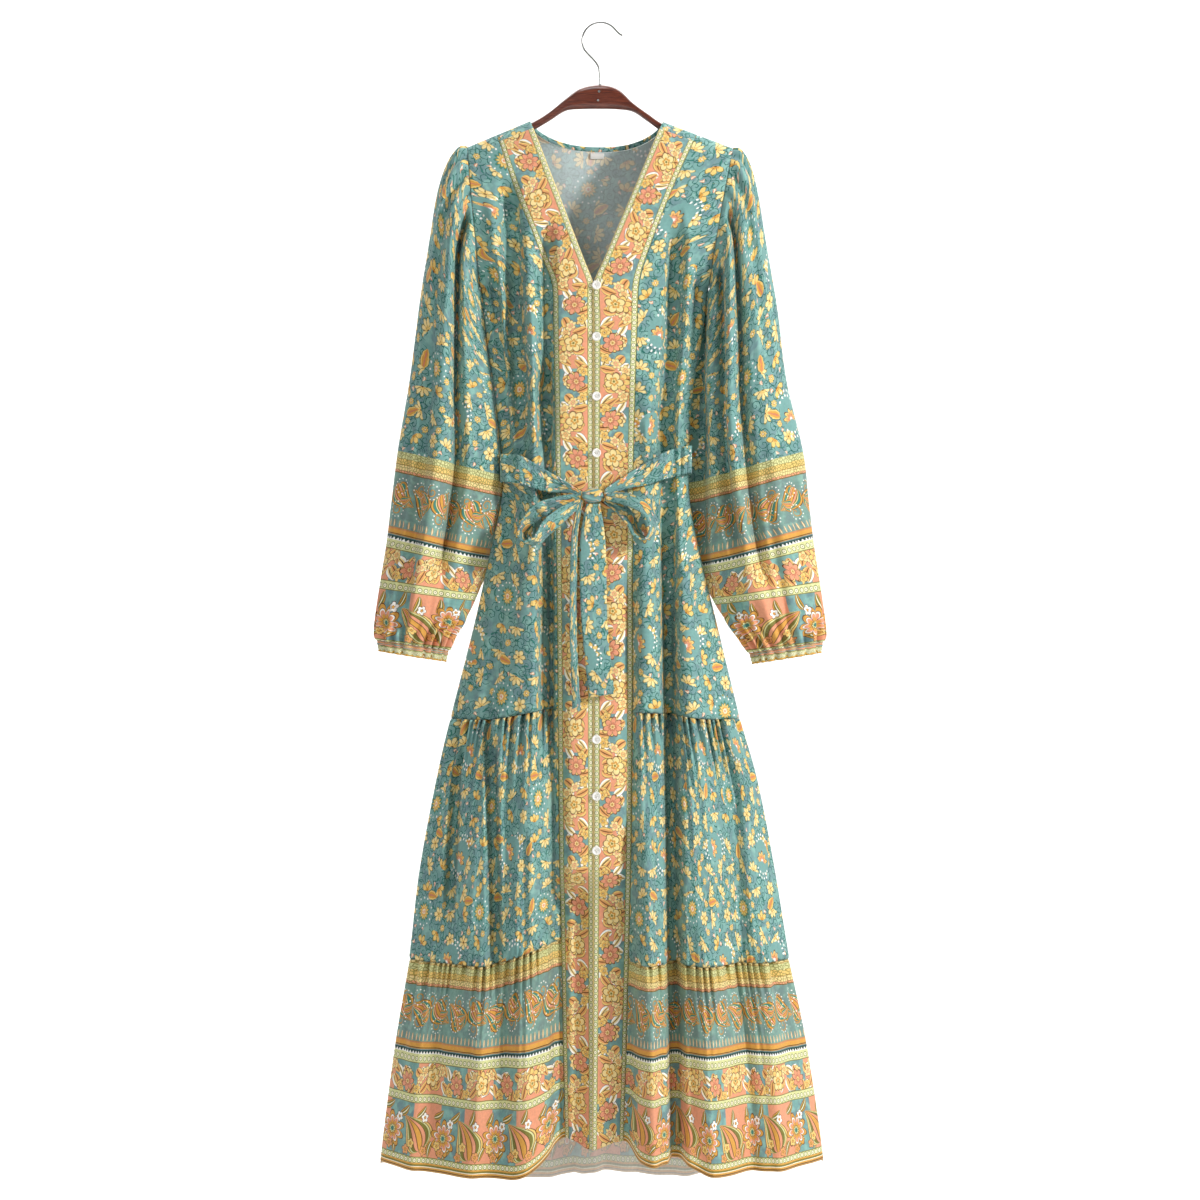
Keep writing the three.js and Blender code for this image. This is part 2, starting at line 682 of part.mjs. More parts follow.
// A point of a sleeve ring. ring may lie between two rows of the table; angle starts at the outer edge
function sleevePoint(table, folds, ring, angle, lift, side) {
  const read = (column) => readTable(table.map((row, index) => ({ ...row, index })), 'index', column, ring);
  const outer = new THREE.Vector3(read('outerX'), 0, read('outerZ'));
  const inner = new THREE.Vector3(read('innerX'), 0, read('innerZ'));
  const centre = outer.clone().add(inner).multiplyScalar(0.5);
  const half = outer.clone().sub(inner).multiplyScalar(0.5);
  const halfDepth = read('depth') / 2;
  const across = (1 - Math.cos(angle)) / 2;
  const normal = half.clone().normalize().multiplyScalar(Math.cos(angle) / half.length());
  normal.y = -Math.sin(angle) / halfDepth;
  normal.normalize();
  let fold = 0;
  for (const item of folds) {
    const share = (ring - item.first) / (item.last - item.first);
    if (share > 0 && share < 1 && Math.sin(angle) * item.side > 0) {
      const off = (across - mix(item.at0, item.at1, share)) / item.width;
      fold += item.height * Math.exp(-off * off) * ease(share / 0.15) * ease((1 - share) / 0.15);
    }
  }
  const point = centre.clone().addScaledVector(half, Math.cos(angle));
  point.y = -Math.sin(angle) * halfDepth;
  if (ring === 0) {
    point.x = readTable(armholes, 'down', side, across) + (side === 'left' ? -0.5 : 0.5);
    normal.x = 0;
    normal.normalize();
  }
  point.addScaledVector(normal, fold + lift);
  const innerPoint = point.clone().addScaledVector(normal, -clothWall);
  if (ring === 0) {
    const down = clamp01((table[0].outerZ - innerPoint.z) / (table[0].outerZ - table[0].innerZ));
    innerPoint.x = readTable(armholes, 'down', side, down) + (side === 'left' ? -0.5 : 0.5);
  }
  return [point, innerPoint];
}

function makeSleeve(side, table, folds) {
  const headColumns = 34;
  const plainColumns = 24;
  const cuffColumns = cuffWaves * 2;
  const last = table.length - 1;
  const ringList = [0, 0.5, 1, 2, 3, 4, 5, 6, 7, 8, 9, 10, 11, 12, last - 0.03];
  const rows = ringList.map((ring) => {
    const head = ring <= 2;
    const end = ring > 11;
    const columns = head ? headColumns : end ? cuffColumns : plainColumns;
    const list = [];
    for (let c = 0; c < columns; c += 1) {
      const angle = (c / columns) * Math.PI * 2;
      const zigzag = c % 2 === 0 ? 0.9 : -0.5;
      const onTop = Math.cos(angle) > Math.cos((headWaves / headColumns) * 2 * Math.PI) ? 1 : 0;
      let lift = 0;
      if (head) {
        lift = headGather * onTop * zigzag * [0.6, 1, 0.9, 0, 0.4][Math.round(ring * 2)];
      } else if (end) {
        lift = cuffGather * zigzag * (ring > 12 ? 1 : 0.45);
      }
      list.push(sleevePoint(table, folds, ring, angle, lift, side));
    }
    return list;
  });
  addWall(`sleeve_${side[0]}`, 'print', rows, true);
}

function makeCuff(side, table) {
  const columns = cuffWaves * 2;
  const ends = [table[table.length - 1], cuffEnds[side]];
  const rows = [0.03, 0.5, 1].map((ring) => {
    const list = [];
    for (let c = 0; c < columns; c += 1) {
      const angle = (c / columns) * Math.PI * 2;
      const lift = cuffGather * (c % 2 === 0 ? 0.9 : -0.5) * (ring === 0.5 ? 0.6 : 1);
      list.push(sleevePoint(ends, [], ring, angle, lift, side));
    }
    return list;
  });
  addWall(`cuff_${side[0]}`, 'border', rows, true);
}

// How far out the front's ridges reach about a place
function frontOut(x, height, standOff, reach = 16) {
  const near = [-1, -0.5, 0, 0.5, 1].map((share) => bodyPoint(x + share * reach, x, height, -1)[0].y);
  return Math.min(...near) - standOff;
}

// Where the middle of the knot lies
function knotOut() {
  return frontOut(knot.x, knot.height, knot.standOff);
}

// A strip of the belt along a table of centres and widths
function stripRows(table, steps, wall, outAt) {
  const indexed = table.map((row, index) => ({ ...row, index }));
  const read = (column, at) => readTable(indexed, 'index', column, at);
  const rows = [[], []];
  for (let s = 0; s <= steps; s += 1) {
    const at = (s / steps) * (table.length - 1);
    const x = read('x', at);
    const height = read('height', at);
    const half = read('width', at) / 2;
    [half, -half].forEach((offset, row) => {
      const y = outAt(x, height + offset, at);
      const outer = new THREE.Vector3(x, y, height + offset);
      rows[row].push([outer, new THREE.Vector3(x, y + wall, height + offset)]);
    });
  }
  return rows;
}

function makeBelt() {
  for (const side of ['left', 'right']) {
    const table = beltFront[side];
    const rows = stripRows(table, 10, beltWall, (x, height, at) => {
      const own = frontOut(x, height, beltStandOff + beltWall);
      return mix(own, knotOut() - beltWall / 2, ease((at - 2.4) / 1.4));
    });
    const sideX = side === 'left' ? -1 : 1;
    rows.forEach((row) => {
      const [outer, inner] = row[0];
      row.unshift([
        new THREE.Vector3(outer.x + sideX * 4, -seamGap, outer.z),
        new THREE.Vector3(outer.x + sideX * 1.6, -seamGap, outer.z),
      ]);
      outer.x += sideX * 3.4;
      outer.y = -12;
      inner.x += sideX * 1.2;
      inner.y = -9;
    });
    addWall(`belt_front_${side[0]}`, 'print', rows);
  }
  const left = beltFront.left[0];
  const right = beltFront.right[0];
  const steps = 16;
  const rows = [0.5, -0.5].map((place) => {
    const list = [];
    for (let s = 0; s <= steps; s += 1) {
      const share = s / steps;
      const angle = Math.PI * share;
      const height = mix(left.height, right.height, share) + place * left.width;
      const centreX = (left.x + right.x) / 2;
      const halfX = (right.x - left.x) / 2;
      const ring = (grow, depth) => new THREE.Vector3(
        centreX - (halfX + grow) * Math.sign(Math.cos(angle)) * Math.abs(Math.cos(angle)) ** 0.8,
        seamGap + depth * Math.sin(angle) ** 0.8,
        height,
      );
      list.push([ring(4, 47.5), ring(1.6, 45)]);
    }
    return list;
  });
  addWall('belt_back', 'print', rows);
}

function makeBow() {
  for (const side of ['left', 'right']) {
    const table = bowLoops[side];
    const indexed = table.map((row, index) => ({ ...row, index }));
    const read = (column, at) => readTable(indexed, 'index', column, at);
    const steps = 8;
    const reach = table.length - 1;
    const rows = [[], [], []];
    for (let s = 0; s <= steps * 2; s += 1) {
      const leg = s <= steps ? 1 : -1;
      const at = (1 - Math.abs(s - steps) / steps) * reach;
      const bend = Math.sqrt(clamp01((reach - at) / 0.7));
      const x = read('x', at);
      const height = read('height', at);
      const next = new THREE.Vector2(
        read('x', at + 0.05) - read('x', at - 0.05),
        read('height', at + 0.05) - read('height', at - 0.05),
      ).normalize();
      const base = mix(knotOut(), frontOut(x, height, 17), ease(at / 1.3));
      const open = read('open', at) * bend * leg;
      [1, 0, -1].forEach((place, row) => {
        const half = (read('width', at) / 2) * place;
        const shift = (grow) => new THREE.Vector3(
          x - next.y * half + next.x * grow * (1 - bend),
          base - (open + grow * bend * leg),
          height + next.x * half + next.y * grow * (1 - bend),
        );
        rows[row].push([shift(beltWall / 2), shift(-beltWall / 2)]);
      });
    }
    addWall(`bow_loop_${side[0]}`, 'print', rows);
  }
  for (const name of ['wide', 'narrow']) {
    const table = beltTails[name];
    const rows = [];
    const steps = 9;
    for (let s = 0; s <= steps; s += 1) {
      const height = mix(table[0].height, table[table.length - 1].height, s / steps);
      const left = readTable(table, 'height', 'left', height);
      const right = readTable(table, 'height', 'right', height);
      const own = frontOut((left + right) / 2, height, tailStandOff[name]);
      const y = mix(knotOut(), own, ease((table[0].height - height) / 40)) - beltWall / 2;
      rows.push([left, (left + right) / 2, right].map((x, place) => {
        const wave = place === 1 ? -1.5 * ease((table[0].height - height) / 40) : 0;
        return [new THREE.Vector3(x, y + wave, height), new THREE.Vector3(x, y + wave + beltWall, height)];
      }));
    }
    addWall(`belt_tail_${name}`, 'print', rows);
  }
  const bundle = new THREE.SphereGeometry(1, 14, 10);
  bundle.scale(knot.halfWidth, knot.halfDepth, knot.halfHeight);
  const mesh = new THREE.Mesh(bundle, new THREE.MeshStandardMaterial(materials.print));
  mesh.name = 'belt_knot';
  mesh.position.set(knot.x, knotOut(), knot.height);
  dress.add(mesh);
}

function makeButtons() {
  const radius = buttonDiameter / 2;
  const profile = [
    new THREE.Vector2(0, 0),
    new THREE.Vector2(radius, 0.8),
    new THREE.Vector2(radius - 0.8, buttonThickness),
    new THREE.Vector2(0, buttonThickness - 0.7),
  ];
  buttonHeights.forEach((height, index) => {
    const geometry = new THREE.LatheGeometry(profile, 12);
    const { seat, out } = buttonSeat(height);
    const mesh = new THREE.Mesh(geometry, new THREE.MeshStandardMaterial(materials.button));
    mesh.name = `button_${String(index + 1).padStart(2, '0')}`;
    mesh.quaternion.setFromUnitVectors(new THREE.Vector3(0, 1, 0), out);
    mesh.position.copy(seat).addScaledVector(out, seamGap + 0.05);
    dress.add(mesh);
  });
}

function makeLabel() {
  const places = [label.left, (label.left + label.right) / 2, label.right];
  const rows = [0, label.height].map((drop) => places.map((x) => {
    const row = neckHeight - label.drop - drop;
    const [, inner] = bodyPoint(x, x, row, 1, 0, bindingHeight + seamGap);
    const front = inner.clone();
    front.y -= seamGap + label.wall;
    const behind = inner.clone();
    behind.y -= seamGap;
    return [behind, front];
  }));
  addWall('neck_label', 'label', rows);
}

function makeHanger() {
  const sides = 10;
  const points = [];
  const faces = [];
  hangerBar.forEach(({ x, top, bottom, half }) => {
    for (let s = 0; s < sides; s += 1) {
      const angle = (s / sides) * Math.PI * 2;
      const height = (top + bottom) / 2 + ((top - bottom) / 2) * Math.cos(angle);
      points.push(new THREE.Vector3(x, half * Math.sin(angle), height));
    }
  });
  for (let r = 0; r < hangerBar.length - 1; r += 1) {
    for (let s = 0; s < sides; s += 1) {
      const a = r * sides + s;
      const b = r * sides + ((s + 1) % sides);
      faces.push([a, b, b + sides], [a, b + sides, a + sides]);
    }
  }
  const lastRing = (hangerBar.length - 1) * sides;
  for (let s = 1; s < sides - 1; s += 1) {
    faces.push([0, s + 1, s], [lastRing, lastRing + s, lastRing + s + 1]);
  }
  addMesh('hanger_body', 'wood', points, faces);
}

function makeHook() {
  const crown = hookWire / 2;
  const centre = new THREE.Vector3(0.7, 0, crown - hookRadius);
  const onCircle = (degrees) => {
    const angle = THREE.MathUtils.degToRad(degrees);
    const height = centre.z + hookRadius * Math.sin(angle);
    return new THREE.Vector3(centre.x + hookRadius * Math.cos(angle), 0, height);
  };
  const route = [
    new THREE.Vector3(0, 0, -76.5),
    new THREE.Vector3(0, 0, -64),
    new THREE.Vector3(-2.5, 0, -51),
  ];
  for (let degrees = 215; degrees >= 35; degrees -= 20) {
    route.push(onCircle(degrees));
  }
  route.push(new THREE.Vector3(24.5, 0, -14), new THREE.Vector3(28.5, 0, -15.5));
  const path = new THREE.CatmullRomCurve3(route);
  const section = new THREE.Shape();
  section.absarc(0, 0, hookWire / 2, 0, Math.PI * 2);
  const geometry = new THREE.ExtrudeGeometry(section, { steps: 32, curveSegments: 4, extrudePath: path });
  const mesh = new THREE.Mesh(geometry, new THREE.MeshStandardMaterial(materials.steel));
  mesh.name = 'hanger_hook';
  dress.add(mesh);
}

makeHanger();
makeHook();
makeUpperBody();
makeTier('mid', tierSeam1, tierSeam2 + seamGap / 2, midWaves, { front: 14, back: 22 });
makeTier('hem', tierSeam2, hemHeight, hemWaves, { front: 19, back: 30 });
makeBands();
makeNeckBinding();
makeLabel();
makeSleeve('left', leftSleeve, leftSleeveFolds);
makeSleeve('right', rightSleeve, rightSleeveFolds);
makeCuff('left', leftSleeve);
makeCuff('right', rightSleeve);
makeBelt();
makeBow();
makeButtons();

export default dress;
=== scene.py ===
import math
from functools import partial

import bmesh
import bpy
import numpy as np
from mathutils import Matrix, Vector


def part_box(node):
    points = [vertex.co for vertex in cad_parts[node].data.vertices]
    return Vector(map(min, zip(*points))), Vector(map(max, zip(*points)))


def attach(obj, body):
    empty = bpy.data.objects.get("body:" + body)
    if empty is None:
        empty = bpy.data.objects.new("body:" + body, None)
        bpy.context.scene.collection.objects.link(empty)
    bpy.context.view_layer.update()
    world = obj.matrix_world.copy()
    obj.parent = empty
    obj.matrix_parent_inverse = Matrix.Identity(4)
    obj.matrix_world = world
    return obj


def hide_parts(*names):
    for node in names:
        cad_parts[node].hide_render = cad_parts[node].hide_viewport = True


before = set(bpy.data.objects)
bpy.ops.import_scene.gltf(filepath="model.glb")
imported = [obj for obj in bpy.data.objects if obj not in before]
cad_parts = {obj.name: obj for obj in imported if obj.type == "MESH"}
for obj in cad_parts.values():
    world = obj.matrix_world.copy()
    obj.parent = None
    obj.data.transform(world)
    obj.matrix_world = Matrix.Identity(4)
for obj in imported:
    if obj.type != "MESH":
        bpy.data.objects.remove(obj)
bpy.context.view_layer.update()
print("frame loaded,", len(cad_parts), "nodes")

# All sizes below are millimetres in the frame's own axes: +Z up, the front of the dress faces -Y.
mm = 0.001
seams = {"neck": -122.5, "underarm": -330, "waist": -559, "tier1": -869, "tier2": -1169,
         "hem": -1421, "hemStart": -1290, "gap": 0.3}


def ease(value):
    t = np.clip(value, 0, 1)
    return t * t * (3 - 2 * t)


def mix(a, b, share):
    return a + (b - a) * share


# one array of points or map places from its parts, which may be single values, rows or columns
def stacked(*parts):
    return np.stack(np.broadcast_arrays(*parts), -1)


def noiseLine(seed, count, low, high):
    return np.random.default_rng(seed).uniform(low, high, count)


# smooth curve through one column of a table, read at a place along its key
def readTable(table, key, column, at):
    keys = np.array(table[key], float)
    values = np.array(table[column], float)
    at = np.asarray(at, float)
    if keys[0] > keys[-1]:
        keys, at = -keys, -at
    row = np.clip(np.searchsorted(keys, at) - 1, 0, len(keys) - 2)
    before = np.maximum(row - 1, 0)
    after = np.minimum(row + 2, len(keys) - 1)
    span = keys[row + 1] - keys[row]
    t = np.clip((at - keys[row]) / span, 0, 1)
    slopeStart = (values[row + 1] - values[before]) / (keys[row + 1] - keys[before]) * span
    slopeEnd = (values[after] - values[row]) / (keys[after] - keys[row]) * span
    return (values[row] * (2 * t**3 - 3 * t**2 + 1) + slopeStart * (t**3 - 2 * t**2 + t)
            + values[row + 1] * (3 * t**2 - 2 * t**3) + slopeEnd * (t**3 - t**2))


# body of the dress: shoulder line, armholes and the outline below the underarm
shoulders = {"x": [-165, -87.5, 79, 166], "height": [-155, -122.5, -123.5, -156.5]}
armholes = {
    "down": [0, 0.15, 0.4, 0.6, 0.8, 1],
    "left": [-165, -163, -159, -155.5, -152.5, -150],
    "right": [166, 160.5, 152, 146, 140.5, 136],
    "depth": 32,
}
body = {
    "height": [-100, -230, -330, -396, -470, -559, -600, -659, -746, -869, -946, -1060, -1169,
               -1268, -1372, -1470],
    "left": [-165, -158, -150, -142, -131, -121, -124, -137, -156, -187, -204, -225, -238,
             -254, -268, -279],
    "right": [166, 150, 136, 127, 115, 111, 113, 124, 145, 175, 196, 218, 236, 256, 272, 284],
    "front": [26, 40, 46, 44, 36, 30, 33, 40, 50, 60, 68, 77, 84, 92, 99, 104],
    "back": [22, 30, 33, 34, 32, 29, 32, 38, 46, 55, 62, 71, 79, 87, 95, 101],
}
# how far each seam of the front climbs near a band: height, reach up and down, left and right rise
seamRises = [(-869, 95, 13, 9), (-1169, 110, 26, 4)]
hems = {
    "frontX": [-290, -110, -76, -43, -12, 29, 50, 100, 135, 290],
    "front": [-1421, -1422, -1409, -1383, -1393, -1382, -1402, -1406, -1420, -1419],
    "backX": [-290, -200, -90, 0, 70, 200, 290],
    "back": [-1421, -1442, -1464, -1455, -1463, -1440, -1419],
}

# folds: height where it starts and ends, x at both, half-width, rise (a trough below zero) and
# lean, which makes its left (-) or right (+) side the steep one
frontFolds = [
    (-1045, -1440, -4, -6, 47, -24, 0), (-1045, -1440, -34, -36, 25, -20, 0.6),
    (-290, -556, -134, -112, 6, -22, 0), (-250, -556, -66, -63, 8, -19, -0.3),
    (-280, -556, -86, -80, 8, 8, 0.6), (-300, -556, 124, 103, 6, -16, 0),
    (-190, -559, -112, -92, 12, -24, 0.3), (-215, -540, -139, -112, 10, 9.8, -0.4),
    (-330, -600, -86, -78, 10, 8.4, 0.5), (-400, -980, -68, -64, 9, -30, 0.3),
    (-470, -1430, -82, -92, 22, 19.6, 0.6), (-560, -900, -104, -140, 12, -15.8, -0.3),
    (-640, -1440, -112, -160, 20, 12.6, 0.4), (-872, -1130, -174, -186, 7, -24, 0.3),
    (-872, -1200, -133, -126, 7.5, -28, 0.3), (-1150, -1440, -228, -236, 16, 12.6, 0.4),
    (-620, -1440, -55, -51, 10, -22, -0.3), (-250, -559, 96, 78, 11, -21, -0.3),
    (-300, -600, 116, 98, 9, 9.8, 0.5), (-420, -900, 60, 58, 14, 15.4, 0.7),
    (-440, -1430, 80, 92, 9.5, -40, -0.5), (-600, -1440, 104, 140, 18, 15.4, -0.4),
    (-880, -1440, 160, 186, 14, -15.8, 0.3), (-960, -1440, 58, 66, 13, 22, 0.6),
    (-640, -1440, 40, 35, 8, -18, 0.2), (-1120, -1440, 206, 224, 15, 12.6, -0.4),
]
backFolds = [
    (-200, -600, -92, -74, 16, -12.8, 0.3), (-240, -640, 84, 70, 15, -14.4, -0.3),
    (-400, -980, -42, -52, 15, 12.6, 0.4), (-430, -1450, 34, 50, 18, 15.4, -0.5),
    (-520, -1460, -8, -14, 15, -19.2, 0), (-560, -1450, -78, -118, 18, -19.2, 0.3),
    (-600, -1450, 74, 112, 16, -17.6, -0.3), (-760, -1450, -128, -168, 20, 15.4, 0.4),
    (-820, -1450, 122, 162, 20, 16.8, -0.4), (-1000, -1450, -196, -216, 15, -14.4, 0.3),
    (-1040, -1450, 192, 210, 14, -14.4, -0.3),
]
# finer creases that only the cloth shows, read from the photograph: drags from the armholes,
# pinches above and below the belt, and soft breaks down the skirt
frontCreases = [
    (-236, -420, -104, -124, 5, 3.5, 0.4), (-228, -395, -92, -112, 5, -4.1, 0),
    (-290, -450, -128, -121, 5, 3.2, -0.5), (-262, -380, -74, -84, 6, -5.8, 0.3),
    (-470, -575, -108, -104, 4.5, 3.8, 0.5), (-490, -585, -97, -92, 4, -4.4, 0),
    (-480, -580, -74, -70, 4, 4.2, 0.5), (-500, -560, -62, -64, 3.5, -3.7, 0),
    (-556, -700, -100, -106, 5, 4.5, 0.5), (-560, -680, -86, -90, 4, -4.8, 0),
    (-560, -760, -66, -72, 4.5, 3.8, -0.4), (-565, -650, -112, -119, 4, -3.7, 0),
    (-640, -860, -96, -118, 6, -4.4, 0.3), (-700, -866, -74, -78, 5, 3.2, 0.4),
    (-980, -1160, -152, -160, 7, 4.8, 0.5), (-950, -1130, -110, -114, 6, -5.1, 0),
    (-1000, -1165, -92, -90, 6, -5.8, 0.4), (-1200, -1400, -196, -206, 9, -6.8, 0.4),
    (-1190, -1400, -146, -150, 8, 5.1, -0.5), (-1210, -1410, -112, -114, 8, -6.8, 0.3),
    (-1240, -1415, -244, -250, 7, -5.1, 0), (-230, -400, 104, 110, 5, 3.8, -0.4),
    (-250, -420, 84, 92, 5, -4.4, 0), (-300, -430, 122, 113, 4.5, -3.7, 0),
    (-470, -580, 100, 96, 4, 3.8, -0.5), (-480, -575, 88, 86, 4, -4.1, 0),
    (-500, -570, 56, 60, 4, 3.5, 0.5), (-556, -700, 70, 68, 4, -5.1, 0),
    (-556, -690, 94, 98, 5, 4.2, -0.4),
    (-640, -860, 112, 134, 6, -4.4, -0.3), (-690, -866, 66, 70, 5, 3.5, 0.4),
    (-930, -1140, 118, 128, 8, -5.8, 0), (-960, -1160, 176, 192, 8, 4.8, -0.5),
    (-1190, -1400, 106, 112, 8, -6.1, 0.3), (-1200, -1400, 232, 242, 8, -5.8, 0),
]
backCreases = [
    (-230, -420, -120, -108, 6, 3.8, 0.4), (-240, -420, 116, 104, 6, 3.8, -0.4),
    (-480, -590, -60, -58, 4.5, 4.2, 0.4), (-490, -590, -24, -26, 4, -4.1, 0),
    (-480, -580, 16, 18, 4.5, 3.8, -0.4), (-490, -590, 60, 56, 4, -4.1, 0),
    (-556, -700, -66, -74, 5, 4.2, 0.4), (-556, -690, -30, -34, 4.5, -4.4, 0),
    (-556, -710, 14, 12, 5, 4.2, -0.4), (-560, -690, 90, 98, 4.5, -4.4, 0),
    (-930, -1150, -146, -158, 8, -5.8, 0), (-920, -1150, -60, -66, 8, 5.1, 0.4),
    (-1190, -1430, -190, -200, 9, 5.8, 0.4), (-1200, -1440, -66, -64, 9, -6.5, 0),
]


def foldHeight(folds, x, height):
    total = np.zeros(np.broadcast(x, height).shape)
    for start, end, x0, x1, width, rise, lean in folds:
        share = (height - start) / (end - start)
        centre = mix(x0, x1, np.clip(share, 0, 1))
        off = (x - centre) / width
        off = off / np.where(off < 0, 1 + 0.5 * lean, 1 - 0.5 * lean)
        fade = ease(share / 0.12)
        if end >= seams["hem"]:
            fade = fade * ease((1 - share) / 0.25)
        steep = 4 if rise < -18 else 2
        total = total + rise * np.exp(-(np.abs(off) ** steep)) * fade
    return total


def sideEdge(side, row):
    down = (seams["neck"] - row) / (seams["neck"] - seams["underarm"])
    above = readTable(armholes, "down", side, down)
    below = readTable(body, "height", side, row)
    return np.where(row > seams["underarm"], above, below)


def backNeckHeight(x, neck):
    share = np.clip(np.abs(x / np.where(x < 0, neck["left"], neck["right"])), 0, 1)
    return np.interp(x, shoulders["x"], shoulders["height"]) - neck["dip"] * (1 - share**2.4) ** 0.8


neck = {"left": -87.5, "right": 79, "dip": 28, "binding": 5.6, "wall": 2.4}


# the body's section: how its top rolls over the shoulder, how it swells between the side seams, where
# the folds calm down beside the seams, under the shoulder line and below the belt
section = {"roll": 40, "power": 2.3, "swell": 0.72, "calmSide": 0.8, "calmTop": 12, "calmReach": 60,
           "beltCalm": 0.55, "beltReach": 30}


# points of the body cloth: face is -1 on the front and 1 on the back, lift moves them outwards
def bodyPoint(x, topX, row, face, lift=0.0, topDrop=0.0, climbs=False):
    x, topX, row = np.broadcast_arrays(np.asarray(x, float), topX, row)
    down = np.clip((seams["neck"] - row) / (seams["neck"] - seams["underarm"]), 0, 1)
    line = np.interp(topX, shoulders["x"], shoulders["height"])
    start = line
    if face > 0:
        fromNeck = np.minimum(topX - neck["left"], neck["right"] - topX)
        dipped = backNeckHeight(topX, neck) - topDrop * ease(fromNeck / 9)
        start = np.where(fromNeck > 0, dipped, line)
    above = row > seams["underarm"]
    height = np.where(above, mix(start, seams["underarm"], down), row)
    crown = np.where(above, line - height, 200)
    side = "front" if face < 0 else "back"
    hem = readTable(hems, side + "X", side, x)
    fall = (row - seams["hemStart"]) / (seams["hem"] - seams["hemStart"])
    height = np.where(row < seams["hemStart"], mix(seams["hemStart"], hem, fall), height)
    if climbs:
        for seam, reach, leftRise, rightRise in seamRises:
            near = np.exp(-(((row - seam) / reach) ** 2))
            climb = np.where(x < 0, leftRise * ease((x + 150) / 95), rightRise * ease((150 - x) / 95))
            height = height + near * climb
    left, right = sideEdge("left", row), sideEdge("right", row)
    across = np.clip((2 * x - left - right) / (right - left), -1, 1)
    edge = armholes["depth"] * 2 * np.sqrt(down * (1 - down))
    rolled = np.clip(crown / section["roll"], 0, 1)
    rise = np.sqrt(1 - (1 - rolled) ** 2)
    depth = readTable(body, "height", side, height) * rise
    lens = np.maximum(0, 1 - np.abs(across) ** section["power"]) ** section["swell"]
    nearSide = 1 - ease((np.abs(across) - section["calmSide"]) / (1 - section["calmSide"]))
    nearTop = ease((crown - section["calmTop"]) / section["calmReach"])
    nearBelt = np.exp(-(((height - seams["waist"]) / section["beltReach"]) ** 2))
    folds = foldHeight(frontFolds if face < 0 else backFolds, x, height)
    folds = folds * (1 - section["beltCalm"] * nearBelt)
    folds = folds + foldHeight(frontCreases if face < 0 else backCreases, x, height)
    out = seams["gap"] / 2 + edge + np.maximum(depth - edge, 0) * lens + folds * nearSide * nearTop
    onSide = np.where(above, ease((down - 0.9) / 0.1), 1)
    sideShare = onSide * np.abs(across) ** 9
    topShare = np.exp(-crown / 4)
    inward = np.stack([-np.sign(across) * sideShare,
                       -face * (1 - sideShare) * (1 - topShare), -topShare], -1)
    inward /= np.linalg.norm(inward, axis=-1, keepdims=True)
    points = np.stack([x, face * out, height], -1) - inward * np.asarray(lift)[..., None]
    points[..., 1] = face * np.maximum(face * points[..., 1], seams["gap"] / 2)
    return points


# how far out the front's ridges reach about a place
def frontOut(x, height, standOff, reach=16):
    x, height = np.asarray(x, float), np.asarray(height, float)
    near = [bodyPoint(x + share * reach, x, height, -1)[..., 1] for share in (-1, -0.5, 0, 0.5, 1)]
    return np.min(near, axis=0) - standOff


# running length along rows or columns of a grid of points
def runLength(points, axis):
    steps = np.linalg.norm(np.diff(points, axis=axis), axis=-1)
    pad = [(0, 0), (0, 0)]
    pad[axis] = (1, 0)
    return np.cumsum(np.pad(steps, pad), axis=axis)


def addPiece(name, data, slot, *nodes):
    piece = bpy.data.objects.new(name, data)
    bpy.context.collection.objects.link(piece)
    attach(piece, "root")
    if nodes:
        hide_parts(*nodes)
    return piece


# joins points that lie on one another, where a grid closes on itself
def weld(mesh, outwards=False):
    shape = bmesh.new()
    shape.from_mesh(mesh)
    bmesh.ops.remove_doubles(shape, verts=shape.verts, dist=0.00002)
    if outwards:
        bmesh.ops.recalc_face_normals(shape, faces=shape.faces)
    shape.to_mesh(mesh)
    shape.free()


def smooth(mesh):
    mesh.polygons.foreach_set("use_smooth", [True] * len(mesh.polygons))


# quads between the neighbours of a grid of points
def gridQuads(rows, columns, turned=False):
    index = np.arange(rows * columns).reshape(rows, columns)
    quads = np.stack([index[:-1, :-1], index[1:, :-1], index[1:, 1:], index[:-1, 1:]], -1).reshape(-1, 4)
    return quads[:, ::-1] if turned else quads


# one sheet of cloth from a grid of points: its map "cloth" is in metres of real cloth, and its
# first rows can be of another cloth, sewn on above as a yoke
def makeCloth(name, node, points, cloth, materials, slot, wall=0.9, turned=False, closed=False, yoke=0):
    quads = gridQuads(*points.shape[:2], turned)
    mesh = bpy.data.meshes.new(name)
    mesh.from_pydata((points.reshape(-1, 3) * mm).tolist(), [], quads.tolist())
    upperFaces = yoke * (points.shape[1] - 1)
    mesh.polygons.foreach_set("material_index", [2] * upperFaces + [0] * (len(quads) - upperFaces))
    layer = mesh.uv_layers.new(name="cloth")
    layer.data.foreach_set("uv", (cloth.reshape(-1, 2)[quads.ravel()] * mm).ravel())
    if closed:
        weld(mesh)
    smooth(mesh)
    for material in materials:
        mesh.materials.append(material)
    piece = addPiece(name, mesh, slot, node)
    solid = piece.modifiers.new("cloth wall", "SOLIDIFY")
    solid.thickness = wall * mm
    solid.offset = -1
    solid.use_even_offset = False
    if len(materials) > 1:
        solid.material_offset = 1
    return piece


# walks a straight run of heights in even steps of cloth
def heights(top, bottom, step=4.4):
    return np.linspace(top, bottom, max(4, int(round((top - bottom) / step)) + 1))


# the map of a panel: across the cloth from the edge that is pinned, and up from its foot
def panelMap(points, pinned, start, foot=620.0):
    across = runLength(points, 1)
    across = across - across[:, pinned:][:, :1]
    return stacked(start + across, foot + points[..., 2] - points[-1:, :, 2].max())


